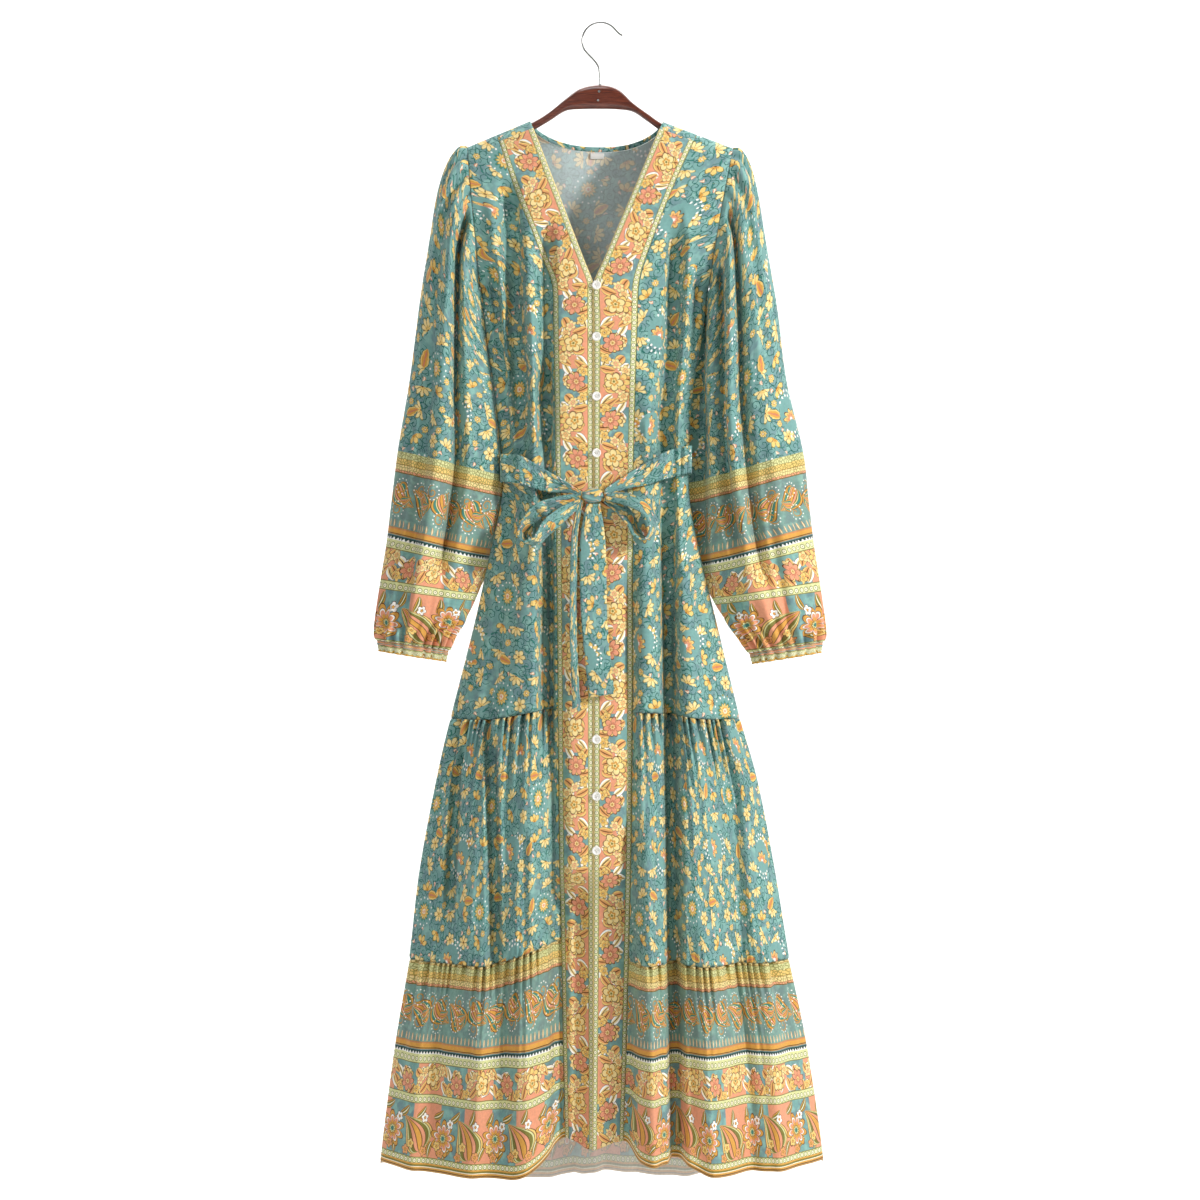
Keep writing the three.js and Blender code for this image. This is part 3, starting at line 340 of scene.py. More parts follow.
# gathers: round ridges with narrow deep creases between them, uneven in spacing, depth and reach
def gatherLift(share, fall, waves, seed, rise, reach):
    wobble = noiseLine(seed, 6, -1, 1)
    phase = share * waves
    for order in range(3):
        phase = phase + 0.4 * wobble[order] * np.sin((order + 1.7) * 2.1 * np.pi * share + wobble[order + 3])
    phase = phase - phase.flat[0]
    nearest = np.clip(np.round(phase), 0, waves).astype(int)
    depthOf = noiseLine(seed + 1, waves + 1, 0.35, 1.5)[nearest]
    reachOf = reach * noiseLine(seed + 2, waves + 1, 0.3, 2.2)[nearest]
    wider = 0.17 + 0.2 * np.clip(fall / (2 * reach), 0, 1)
    crease = depthOf * np.exp(-(((phase - nearest) / wider) ** 2)) * np.exp(-fall / reachOf)
    ridge = 0.4 * np.sin(np.pi * phase) ** 2 * np.exp(-fall / reach)
    ends = ease(share / 0.03) * ease((1 - share) / 0.03)
    return rise * ends * (ridge - crease)


def bandEdge(band, column, row):
    return readTable(band, "height", column, row)


leftBand = {
    "height": [-122.5, -200, -300, -330, -375, -559, -1040, -1200, -1421],
    "outer": [-129, -106, -69, -59.5, -58, -55, -50, -47, -43],
    "inner": [-87.5, -58, -20, -8, 7, 8, 7, -2, -7],
}
rightBand = {
    "height": [-122.5, -200, -300, -330, -375, -559, -869, -1040, -1421],
    "outer": [121.5, 90, 55, 48, 46, 41, 40, 38, 29],
    "inner": [79, 47, 5, -7.5, -7.5, -7.5, -7.5, -7.5, -9.5],
}
# the left band lies behind the right one by a step, which grows below the last button
bands = {"wall": 1.3, "step": 2.2, "columns": 14, "width": 50, "start": {"l": 0, "r": 48}, "evenOver": 8,
         "flat": {"l": (0.062, 1.30), "r": (0.052, 1.30)}}


# edges of a front panel, l or r, beside its band, or of the whole back
def panelEdges(side, row):
    left, right = sideEdge("left", row), sideEdge("right", row)
    if side == "l":
        right = bandEdge(leftBand, "outer", row) - seams["gap"]
    if side == "r":
        left = bandEdge(rightBand, "outer", row) + seams["gap"]
    return left, right


# a body panel as a grid of points
def bodyPanel(side, rows, shares, liftAt, topDrop=0.0):
    row = rows[:, None]
    x = mix(*panelEdges(side, row), shares)
    topX = mix(*panelEdges(side, np.array([[seams["neck"]]])), shares)
    row = np.broadcast_to(row, x.shape)
    lift = liftAt(np.broadcast_to(shares, x.shape), row)
    onFront = side != "back"
    return bodyPoint(x, topX, row, -1 if onFront else 1, lift, topDrop, onFront)


def seamRidge(row, seam, width=2.2, depth=1.1):
    return -depth * np.exp(-(((row - seam) / width) ** 2))


upper = {"columns": 64, "waves": {"l": 16, "r": 16, "back": 34}, "seed": {"l": 48, "r": 49, "back": 61},
         "puckerRise": 1.1, "puckerReach": 26, "pinned": {"l": -1, "r": 0, "back": 42},
         "start": {"l": 250, "r": 436, "back": 800}, "shape": {"l": 0.68, "r": 0.68, "back": 0.8},
         "flat": {"l": (0.21, 0.75), "r": (0.20, 0.75), "back": (0.40, 0.75)}}


# rows from the shoulder line down to the seam of the yoke, which the back brings over the shoulder
topRows = [-122.5, -123.4, -125, -128, -131.5, -134, -134.6, -135.2]


# the back's columns crowd at the neck points, where the neckline is steep
def backShares():
    width = armholes["right"][0] - armholes["left"][0]
    start = (neck["left"] - armholes["left"][0]) / width
    end = (neck["right"] - armholes["left"][0]) / width
    arc = (1 - np.cos(np.pi * np.linspace(0, 1, 49))) / 2
    return np.concatenate([np.linspace(0, start, 18)[:-1], mix(start, end, arc),
                           np.linspace(end, 1, 18)[1:]])


def makeUpperBody(cloths):
    rows = np.concatenate([topRows, heights(-137, seams["tier1"] + 0.15)])
    for side in ("l", "r", "back"):
        onFront = side != "back"

        # small waves that the tier's seam pulls into the cloth, and on the front the yoke's seam
        def lift(share, row, side=side, onFront=onFront):
            waves = gatherLift(share, np.abs(row - seams["tier1"]), upper["waves"][side],
                               upper["seed"][side], upper["puckerRise"], upper["puckerReach"])
            waves = waves + seamRidge(row, seams["tier1"])
            return waves + seamRidge(row, -134.6, 0.7, 0.6) if onFront else waves
        shares = np.linspace(0, 1, upper["columns"] + 1) if onFront else backShares()
        drop = 0.0 if onFront else neck["binding"] + seams["gap"]
        points = bodyPanel(side, rows, shares, lift, drop)
        name, node = ("upperFront_" + side, "front_upper_" + side) if onFront else ("upperBack", "back_upper")
        cloth = panelMap(points, upper["pinned"][side], upper["start"][side])
        piece = makeCloth(name, node, points, cloth, cloths["ground"], "print", turned=not onFront)
    print("upper body made")


tiers = {
    "mid": {"top": seams["tier1"], "bottom": seams["tier2"], "waves": {"l": 15, "r": 15, "back": 34},
            "perWave": 11, "rise": 11, "reach": 42, "foot": 300, "length": 300, "puckers": 3.6,
            "cloth": "ground", "start": {"l": 240, "r": 505, "back": 900},
            "flat": {"l": (0.30, 0.30), "r": (0.32, 0.30), "back": (0.62, 0.30)}},
    "hem": {"top": seams["tier2"], "bottom": seams["hem"], "waves": {"l": 20, "r": 20, "back": 38},
            "perWave": 11, "rise": 9.5, "reach": 32, "foot": 0, "length": 252, "puckers": 0,
            "cloth": "border", "start": {"l": 31, "r": 345, "back": 700},
            "flat": {"l": (0.34, 0.25), "r": (0.39, 0.25), "back": (0.72, 0.28)}},
}


def makeTier(name, cloths):
    tier = tiers[name]
    top = tier["top"] - 0.15
    bottom = tier["bottom"] + (0.15 if name == "mid" else 0)
    rows = np.concatenate([heights(top, top - 40, 2.6)[:-1], heights(top - 40, bottom)])
    for seed, side in enumerate(("l", "r", "back")):
        waves = tier["waves"][side]
        onFront = side != "back"

        def lift(share, row, side=side):
            fromBand = {"l": 1 - share, "r": share, "back": 1}[side]
            gathers = gatherLift(share, top - row, waves, 10 * seed + 3, tier["rise"], tier["reach"])
            gathers = gathers * (0.45 + 0.55 * ease(fromBand / 0.3))
            gathers = gathers + 1.0 * (1 - np.exp((row - top) / 38))
            if tier["puckers"]:
                gathers = gathers + gatherLift(share, row - bottom, waves * 2, 90 + seed,
                                               tier["puckers"] * 0.5, 20)
                gathers = gathers + seamRidge(row, bottom)
            return gathers + seamRidge(row, top)
        shares = np.linspace(0, 1, waves * tier["perWave"] + 1)
        points = bodyPanel(side, rows, shares, lift)
        up = tier["foot"] + tier["length"] + rows[:, None] - top
        across = tier["start"][side] + shares * runLength(points, 1)[-1, -1]
        node = "front_" + name + "_" + side if onFront else "back_" + name
        piece = makeCloth("tier_" + name + "_" + side, node, points, stacked(across, up),
                          cloths[tier["cloth"]], "print", turned=not onFront)
    print(name, "tier made")


def bandRows():
    return np.concatenate([topRows, heights(-137, seams["hem"])])


def rightBandPoint(share, row):
    outer, inner = bandEdge(rightBand, "outer", row), bandEdge(rightBand, "inner", row)
    topX = mix(rightBand["inner"][0], rightBand["outer"][0], share)
    return bodyPoint(mix(inner, outer, share), topX, row, -1)


def makeBands(cloths):
    rows = bandRows()[:, None]
    share = np.linspace(0, 1, bands["columns"] + 1)[None, :]
    outer, inner = bandEdge(leftBand, "outer", rows), bandEdge(leftBand, "inner", rows)
    x = mix(outer, inner, share)
    step = bands["step"] + 5 * ease((-1040 - rows) / 60)
    behind = np.where(rows > -300, 0, step * ease((x + 21) / 10))
    row = np.broadcast_to(rows, x.shape)
    left = bodyPoint(x, mix(leftBand["outer"][0], leftBand["inner"][0], share), row, -1, -behind)
    right = rightBandPoint(np.broadcast_to(share, x.shape), row)
    for side, points in (("l", left), ("r", right)):
        # blocks of the print lie square to the middle line of the band
        middle = points[:, points.shape[1] // 2]
        run = np.concatenate([[0], np.cumsum(np.linalg.norm(np.diff(middle, axis=0), axis=1))])
        way = np.gradient(middle[:, [0, 2]], axis=0)
        even = np.ones(2 * bands["evenOver"] + 1) / (2 * bands["evenOver"] + 1)
        way = np.stack([np.convolve(np.pad(part, bands["evenOver"], "edge"), even, "valid")
                        for part in way.T], -1)
        way /= np.linalg.norm(way, axis=1, keepdims=True)
        aside = (points - middle[:, None, :])[..., [0, 2]]
        along = run[:, None] + (aside * way[:, None, :]).sum(axis=-1)
        # the map runs 0 to 50 mm from the edge that shows, whatever the band's width there
        seen = np.minimum(inner, -8.2)
        across = share if side == "r" else (seen - x) / (seen - outer)
        cloth = stacked(across * bands["width"], along + bands["start"][side])
        piece = makeCloth("frontBand_" + side, "front_band_" + side, points, cloth,
                          cloths["band"] + cloths["ground"], "border", bands["wall"], yoke=6)
    print("front bands made")


def makeNeckBinding(cloths):
    x = mix(neck["left"], neck["right"], (1 - np.cos(np.pi * np.linspace(1, 13, 61) / 14)) / 2)
    drops = np.linspace(0, neck["binding"], 7)[:, None]
    columns = np.broadcast_to(x[None, :], (7, x.size))
    points = bodyPoint(columns, columns, np.full(columns.shape, seams["neck"]), 1, 0.4,
                       np.broadcast_to(drops, columns.shape))
    # the folded strip is round in section, front side and back side of one roll
    roll = np.linspace(0, 2 * math.pi, 15)[:, None]
    centre = points[3][None, :, :]
    ring = stacked(centre[..., 0],
                   np.maximum(centre[..., 1] - neck["wall"] / 2 + neck["wall"] / 2 * np.sin(roll), 0.15),
                   centre[..., 2] + neck["binding"] / 2 * np.cos(roll))
    cloth = stacked(runLength(ring, 1) + 610, runLength(ring, 0) + 400)
    piece = makeCloth("neckBinding", "neck_binding", ring, cloth, cloths["ground"][:1], "print", 0.4)
    print("neck binding made")


def makeLabel(cloths):
    x = np.linspace(-12.5, 5, 15)[None, :]
    row = np.linspace(seams["neck"] - 2, seams["neck"] - 11, 10)[:, None]
    x, row = np.broadcast_arrays(x, row)
    points = bodyPoint(x, x, row, 1, -1.9, neck["binding"] + seams["gap"])
    points[..., 1] -= 0.4 + 0.5 * np.sin(np.linspace(0, math.pi, 10))[:, None]
    cloth = stacked(runLength(points, 1), runLength(points, 0))
    piece = makeCloth("neckLabel", "neck_label", points, cloth, cloths["label"], "label", 0.4)
    print("label made")


# sleeves, ring by ring from the armhole: outer and underarm edge of each ring, and its depth
sleeves = {
    "left": {
        "index": list(range(14)),
        "outerX": [-165, -177, -192, -204, -213, -225, -238, -252, -260.5, -267, -276, -280, -279.5,
                   -278],
        "outerZ": [-155, -157, -178, -216, -270, -346, -446, -529, -596, -650, -712, -746, -761, -771],
        "innerX": [-150, -151.5, -151.8, -151.5, -148.5, -142, -135, -127, -137, -150.5, -163, -169, -182,
                   -189.5],
        "innerZ": [-330, -334, -342, -358, -390, -431, -480, -560, -627, -677, -726, -748, -767, -784],
        "depth": [64, 74, 80, 83, 83, 81, 81, 83, 81, 79, 73, 64, 54, 45],
        # where the part beside the body starts to lie deep, and how deep
        "brink": [0.97, 0.95, 0.97], "sunk": 30,
        # first and last ring, place across the ring at each, width, rise, face (1 front, -1 back)
        "folds": [
            (0.3, 10, 0.5, 0.68, 0.06, -30, 1), (0.8, 11, 0.36, 0.5, 0.1, 8.4, 1),
            (5, 12, 0.24, 0.3, 0.07, -9.6, 1), (0.5, 11, 0.45, 0.4, 0.09, -12.8, -1),
            (2, 12, 0.66, 0.62, 0.1, 8.4, -1), (0.3, 6, 0.24, 0.2, 0.045, -4.8, 1),
            (0.4, 5, 0.14, 0.12, 0.035, 3.4, 1), (0.3, 4.6, 0.62, 0.72, 0.04, 3.6, 1),
            (3.5, 9, 0.82, 0.78, 0.05, -5.4, 1), (6.5, 12.4, 0.4, 0.42, 0.045, 4.2, 1),
            (7, 12.4, 0.58, 0.62, 0.04, -4.8, 1), (6, 12, 0.1, 0.14, 0.04, -4.2, 1),
            (0.3, 6, 0.2, 0.22, 0.045, -4.8, -1), (4, 12, 0.2, 0.28, 0.05, 4.2, -1),
            (5, 12, 0.5, 0.52, 0.05, -4.8, -1),
        ],
        "cuff": {"index": [0, 1], "outerX": [-278, -276], "outerZ": [-771, -785],
                 "innerX": [-189.5, -192.5], "innerZ": [-784, -798], "depth": [45, 42], "folds": []},
    },
    "right": {
        "index": list(range(14)),
        "outerX": [166, 177, 189, 198, 208, 222, 233, 254, 261, 268, 276, 280, 280, 278],
        "outerZ": [-156.5, -160, -181, -217, -277, -359, -446, -536, -598, -655, -712, -746, -762, -773],
        "innerX": [136, 138, 138.5, 137.5, 133.5, 127, 121.5, 119, 126.5, 138.5, 149, 158, 174, 186],
        "innerZ": [-330, -334, -342, -361, -394, -440, -496, -574, -636, -688, -728, -750, -770, -787],
        "depth": [64, 74, 80, 83, 83, 81, 81, 83, 81, 79, 73, 64, 54, 45],
        "brink": [0.965, 0.86, 0.93], "sunk": 44,
        "folds": [
            (0.4, 10, 0.46, 0.54, 0.055, -26, 1), (1.8, 9, 0.82, 0.72, 0.055, -26, 1),
            (0.8, 11, 0.62, 0.66, 0.08, 8.4, 1), (0.5, 11, 0.5, 0.44, 0.09, -12.8, -1),
            (2, 12, 0.3, 0.34, 0.1, 8.4, -1), (0.3, 6, 0.26, 0.2, 0.045, -4.8, 1),
            (0.4, 5, 0.16, 0.12, 0.035, 3.4, 1), (3.5, 10, 0.3, 0.3, 0.05, 4.2, 1),
            (5, 11, 0.9, 0.86, 0.04, -4.8, 1), (6.5, 12.4, 0.4, 0.4, 0.045, -4.8, 1),
            (7, 12.4, 0.56, 0.58, 0.04, 3.6, 1), (6, 12, 0.12, 0.16, 0.04, -4.2, 1),
            (0.3, 6, 0.2, 0.22, 0.045, -4.8, -1), (4, 12, 0.6, 0.66, 0.05, -4.8, -1),
        ],
        "cuff": {"index": [0, 1], "outerX": [278, 276], "outerZ": [-773, -787],
                 "innerX": [186, 190], "innerZ": [-787, -801], "depth": [45, 42], "folds": []},
    },
    "columns": 190, "headWaves": 20, "headRise": 4.0, "cuffWaves": 20, "cuffRise": 9, "borderTop": 250,
    "flat": (0.40, 0.63),
}


def sleevePoint(table, side, ring, angle, lift, onArmhole=True):
    def read(column):
        return readTable(table, "index", column, ring)
    outer = stacked(read("outerX"), 0, read("outerZ"))
    inner = stacked(read("innerX"), 0, read("innerZ"))
    half = (outer - inner) / 2
    halfLength = np.linalg.norm(half, axis=-1)
    halfDepth = read("depth") / 2
    across = (1 - np.cos(angle)) / 2
    normal = half / (halfLength**2)[..., None] * np.cos(angle)[..., None]
    normal[..., 1] = -np.sin(angle) / halfDepth
    normal /= np.linalg.norm(normal, axis=-1, keepdims=True)
    rise = np.array(lift, float)
    for first, last, at0, at1, width, height, face in table["folds"]:
        share = (ring - first) / (last - first)
        inside = (share > 0) & (share < 1) & (np.sin(angle) * face > 0)
        off = (across - mix(at0, at1, share)) / width
        rise = rise + np.where(inside, height * np.exp(-off * off) * ease(share / 0.15)
                               * ease((1 - share) / 0.15), 0)
    point = (outer + inner) / 2 + half * np.cos(angle)[..., None]
    point[..., 1] = -np.sin(angle) * halfDepth
    if onArmhole:
        first = ring <= 0.001
        edge = readTable(armholes, "down", side, across) + (-0.5 if side == "left" else 0.5)
        point[..., 0] = np.where(first, edge, point[..., 0])
        normal[..., 0] = np.where(first, 0, normal[..., 0])
        normal /= np.linalg.norm(normal, axis=-1, keepdims=True)
    # the underarm side hangs a little behind the body, so no light shows between them
    away = (np.abs(angle) - math.pi) / 0.55
    tuck = np.interp(ring, [1, 2.5, 9, 10.6], [0, 1, 1.1, 0]) * np.exp(-away * away)
    if onArmhole:
        point[..., 0] += (11 if side == "left" else -12) * tuck
        point[..., 1] += 14 * tuck
        brink = np.interp(ring, [2, 6.5, 9], table["brink"])
        sunk = ease((across - brink) / 0.03) * np.interp(ring, [0.8, 2.5, 8, 9.6], [0, 1, 1, 0])
        floor = np.maximum(np.sin(angle) * halfDepth + 14 * tuck - 3, point[..., 1])
        deep = np.minimum(point[..., 1] + table["sunk"] * sunk, floor)
        point[..., 1] = np.where(np.sin(angle) > 0, deep, point[..., 1])
    return point + normal * rise[..., None]


def ringGather(angle, waves, seed):
    wobble = noiseLine(seed, 2, -1, 1)
    phase = waves * angle / (2 * math.pi) + 0.25 * np.sin(3 * angle + wobble[0]) + 0.2 * np.sin(
        5 * angle + wobble[1])
    off = phase - np.round(phase)
    depthOf = noiseLine(seed + 1, 2 * waves + 3, 0.5, 1.4)[np.round(phase).astype(int)]
    return 0.45 * np.sin(np.pi * phase) ** 2 - depthOf * np.exp(-((off / 0.2) ** 2))


def makeSleeve(side, cloths):
    table = sleeves[side]
    last = len(table["index"]) - 1
    rings = np.concatenate([[0, 0.1, 0.25, 0.5, 0.75], np.arange(1, 12, 1 / 13), np.arange(12, last, 0.2),
                            [last - 0.03]])
    angle = np.linspace(-math.pi, math.pi, sleeves["columns"] + 1)
    ring, angle = np.meshgrid(rings, angle, indexing="ij")
    seed = 5 if side == "left" else 6
    onTop = ease((np.cos(angle) + 0.25) / 0.6)
    head = np.interp(ring, [0, 0.5, 1, 2, 4], [0.5, 1, 0.9, 0.5, 0])
    lift = sleeves["headRise"] * onTop * head * ringGather(angle, sleeves["headWaves"], seed)
    foot = np.interp(ring, [9, 11, 12.4, 13], [0, 0.45, 1, 0.8])
    lift = lift + sleeves["cuffRise"] * foot * ringGather(angle, sleeves["cuffWaves"], seed + 10)
    points = sleevePoint(table, side, ring, angle, lift)
    lengths = runLength(points, 0)
    up = (lengths[-1:, :] - lengths).mean(axis=1, keepdims=True) + 14
    around = runLength(sleevePoint(table, side, ring, angle, lift * 0), 1)
    cloth = stacked(around - around[:, -1:] / 2 + 500, up)
    piece = makeCloth("sleeve_" + side, "sleeve_" + side[0], points, cloth,
                      cloths["border"] + cloths["ground"], "print", turned=side == "right", closed=True,
                      yoke=int((up > sleeves["borderTop"]).sum()))
    # the cuff is shirred on three rows of elastic
    ends = table["cuff"]
    ring, angle = np.meshgrid(np.linspace(0.03, 1, 13),
                              np.linspace(-math.pi, math.pi, sleeves["cuffWaves"] * 8 + 1), indexing="ij")
    pinch = 0.35 * np.cos(ring * 3 * 2 * math.pi) + 0.65
    lift = 0.42 * sleeves["cuffRise"] * pinch * ringGather(angle, sleeves["cuffWaves"], seed + 10)
    points = sleevePoint(ends, side, ring, angle, lift, onArmhole=False)
    lengths = runLength(points, 0)
    around = runLength(points, 1)
    cloth = stacked(around * 1.6, lengths[-1:, :].mean() - lengths + 7)
    piece = makeCloth("cuff_" + side, "cuff_" + side[0], points, cloth, cloths["border"], "border",
                      turned=side == "right", closed=True)
    print(side, "sleeve made")


belt = {
    "wall": 2.2, "standOff": 3.5,
    "left": {"index": [0, 1, 2, 3, 4], "x": [-121, -98, -66, -42, -23.6],
             "height": [-557, -560, -574, -582, -591], "width": [34, 34, 27, 15, 8]},
    "right": {"index": [0, 1, 2, 3, 4], "x": [111, 88, 62, 34, 5.6],
              "height": [-546, -552, -563, -575, -590], "width": [34, 34, 28, 17, 8]},
    "knot": {"x": -9, "height": -592, "halfWidth": 14, "halfDepth": 8.5, "halfHeight": 10,
             "standOff": 10.5},
    "loops": {
        "left": {"index": [0, 1, 2, 3, 4], "x": [-24.4, -48, -72, -86, -90],
                 "height": [-597, -608, -623, -642, -652], "width": [8, 18, 26, 27, 24],
                 "open": [2.4, 7, 12, 12, 9]},
        "right": {"index": [0, 1, 2, 3, 4], "x": [6.8, 29, 47, 54, 57],
                  "height": [-595, -603, -617, -634, -645], "width": [8, 17, 22, 22, 20],
                  "open": [2.4, 7, 11, 11, 9]},
    },
    "tails": {
        "wide": {"height": [-602.4, -640, -686, -744, -801, -838], "left": [-17, -24, -25, -23, -18, -13],
                 "right": [0, 6, 8, 9, 14, 17.5], "standOff": 10, "flat": (0.034, 0.25)},
        "narrow": {"height": [-598, -640, -700, -770, -852], "left": [-27, -35, -37, -37, -34],
                   "right": [-20.8, -27, -28, -28, -24], "standOff": 8, "flat": (0.012, 0.25)},
    },
}


def knotOut():
    knot = belt["knot"]
    return float(frontOut(knot["x"], knot["height"], knot["standOff"]))


def makeBelt(cloths):
    across = np.linspace(-1, 1, 15)[:, None]
    for side, sign in (("left", -1), ("right", 1)):
        table = belt[side]
        at = np.linspace(0, 4, 46)[None, :]
        x = readTable(table, "index", "x", at)
        width = readTable(table, "index", "width", at)
        tight = ease((at - 0.6) / 2.6)
        height = readTable(table, "index", "height", at) - across * width / 2
        x = np.broadcast_to(x, height.shape)
        own = frontOut(x, height, belt["standOff"] + belt["wall"])
        y = mix(own, knotOut() - belt["wall"] / 2, ease((at - 2.4) / 1.4))
        # lengthwise creases deepen where the belt is drawn into the knot
        y = y - (0.5 + 1.3 * tight) * np.sin(across * (4.2 + 2.4 * tight) + 0.9 * sign + 0.35 * at) ** 2 + 0.4
        points = stacked(x, y, height)
        first = points[:, 0]
        corner = first.copy()
        corner[:, 0] += sign * 3.4
        corner[:, 1] = -12
        end = corner.copy()
        end[:, 0] += sign * 0.6
        end[:, 1] = -seams["gap"]
        turn = [end, mix(end, corner, 0.5), corner, mix(corner, first, 0.35) + [sign * 1.2, -1.2, 0],
                mix(corner, first, 0.7) + [sign * 0.8, -1.0, 0]]
        points = np.concatenate([np.stack(turn, 1), points], 1)
        cloth = stacked(runLength(points, 1) + 200, (across + 1) * 20 + 700)
        piece = makeCloth("beltFront_" + side, "belt_front_" + side[0], points, cloth,
                          cloths["ground"][:1], "print", 1.6, turned=side == "right")
    share = np.linspace(0, 1, 91)[None, :]
    angle = math.pi * share
    left, right = belt["left"], belt["right"]
    height = mix(left["height"][0], right["height"][0], share) - across * left["width"][0] / 2
    middle, half = (left["x"][0] + right["x"][0]) / 2, (right["x"][0] - left["x"][0]) / 2
    crease = 0.8 * np.sin(across * 4.4 + 1.4 * np.sin(3 * angle)) ** 2
    points = stacked(middle - (half + 4) * np.sign(np.cos(angle)) * np.abs(np.cos(angle)) ** 0.8,
                     seams["gap"] + (47.2 - crease) * np.sin(angle) ** 0.8, height)
    cloth = stacked(runLength(points, 1), (across + 1) * 20 + 700)
    piece = makeCloth("beltBack", "belt_back", points, cloth, cloths["ground"][:1], "print", 1.6,
                      turned=True)
    print("belt made")


def makeBow(cloths):
    for side in ("left", "right"):
        table = belt["loops"][side]
        reach = 4
        turn = np.linspace(-1, 1, 81)[None, :]
        place = np.linspace(-1, 1, 13)[:, None]
        leg = np.where(turn <= 0, 1, -1)
        at = (1 - np.abs(turn)) * reach
        bend = np.sqrt(np.clip((reach - at) / 1.0, 0, 1))
        x, height = readTable(table, "index", "x", at), readTable(table, "index", "height", at)
        runX = readTable(table, "index", "x", at + 0.05) - readTable(table, "index", "x", at - 0.05)
        runZ = (readTable(table, "index", "height", at + 0.05)
                - readTable(table, "index", "height", at - 0.05))
        size = np.hypot(runX, runZ)
        runX, runZ = runX / size, runZ / size
        base = mix(knotOut(), frontOut(x, height, 14), ease(at / 1.3))
        opened = readTable(table, "index", "open", at) * bend * leg
        width = readTable(table, "index", "width", at) / 2 * place
        twist = mix(0.3, 1.15, ease((at - 0.5) / 2.4))
        half = width * np.cos(twist) + opened
        crease = (1.8 * np.exp(-at / 1.5) + 0.5) * np.sin(place * 3.6 + leg * 0.8) ** 2
        points = stacked(x - runZ * half, base + width * np.sin(twist) - 0.3 * opened - leg * crease,
                         height + runX * half)
        cloth = stacked(runLength(points, 1) + 300, (place + 1) * 20 + 640)
        piece = makeCloth("bowLoop_" + side, "bow_loop_" + side[0], points, cloth, cloths["ground"][:1],
                          "print", 2.0, turned=side == "left")
    for name, table in belt["tails"].items():
        height = np.linspace(table["height"][0], table["height"][-1], 64)[:, None]
        share = np.linspace(0, 1, 13)[None, :]
        left = readTable(table, "height", "left", height)
        right = readTable(table, "height", "right", height)
        own = frontOut((left + right) / 2, height, table["standOff"])
        fromKnot = ease((table["height"][0] - height) / 40)
        y = mix(knotOut(), own, fromKnot) - belt["wall"] / 2
        x = mix(left, right, share)
        sway = 1.2 * np.sin(height / 31) * (share - 0.5) * 2 * fromKnot
        bow = -1.5 * fromKnot * np.sin(np.pi * share)
        crease = -1.2 * np.exp(-(table["height"][0] - height) / 60) * np.sin(share * 9) ** 2
        drop = height + 5 * (share - 0.5) * ease((table["height"][0] - height - 200) / 30)
        points = stacked(x, y + sway + bow + crease, drop)
        cloth = stacked(share * 40 + 460, 900 - runLength(points, 0))
        piece = makeCloth("beltTail_" + name, "belt_tail_" + name, points, cloth, cloths["ground"][:1],
                          "print", 1.4)
    makeKnot(cloths)
    print("bow made")


# the knot: a rounded bundle with the wraps of the belt drawn over it
def makeKnot(cloths):
    knot = belt["knot"]
    rings, columns = 40, 64
    theta = np.linspace(0.02, math.pi - 0.02, rings)[:, None]
    phi = np.linspace(0, 2 * math.pi, columns + 1)[None, :]
    wrap = np.cos(phi) * np.sin(theta)
    crease = 0.06 * np.sin(9 * np.cos(theta) + 2.5 * wrap) + 0.05 * np.sin(4 * phi + 5 * np.cos(theta))
    swell = 0.93 + crease * np.sin(theta)
    points = stacked(knot["x"] + knot["halfWidth"] * swell * np.sin(theta) * np.cos(phi),
                     knotOut() + knot["halfDepth"] * swell * np.sin(theta) * np.sin(phi),
                     knot["height"] + knot["halfHeight"] * swell * np.cos(theta))
    cloth = stacked(runLength(points, 1) + 120, 760 - runLength(points, 0))
    piece = makeCloth("beltKnot", "belt_knot", points, cloth, cloths["ground"][:1], "print", 0.8,
                      closed=True)


buttons = {"x": -4.4, "holes": 1.15, "holeRadius": 0.62, "holeDepth": 1.2,
           "heights": [-333, -396, -469, -539, -611, -682, -752, -822, -892, -961, -1027]}


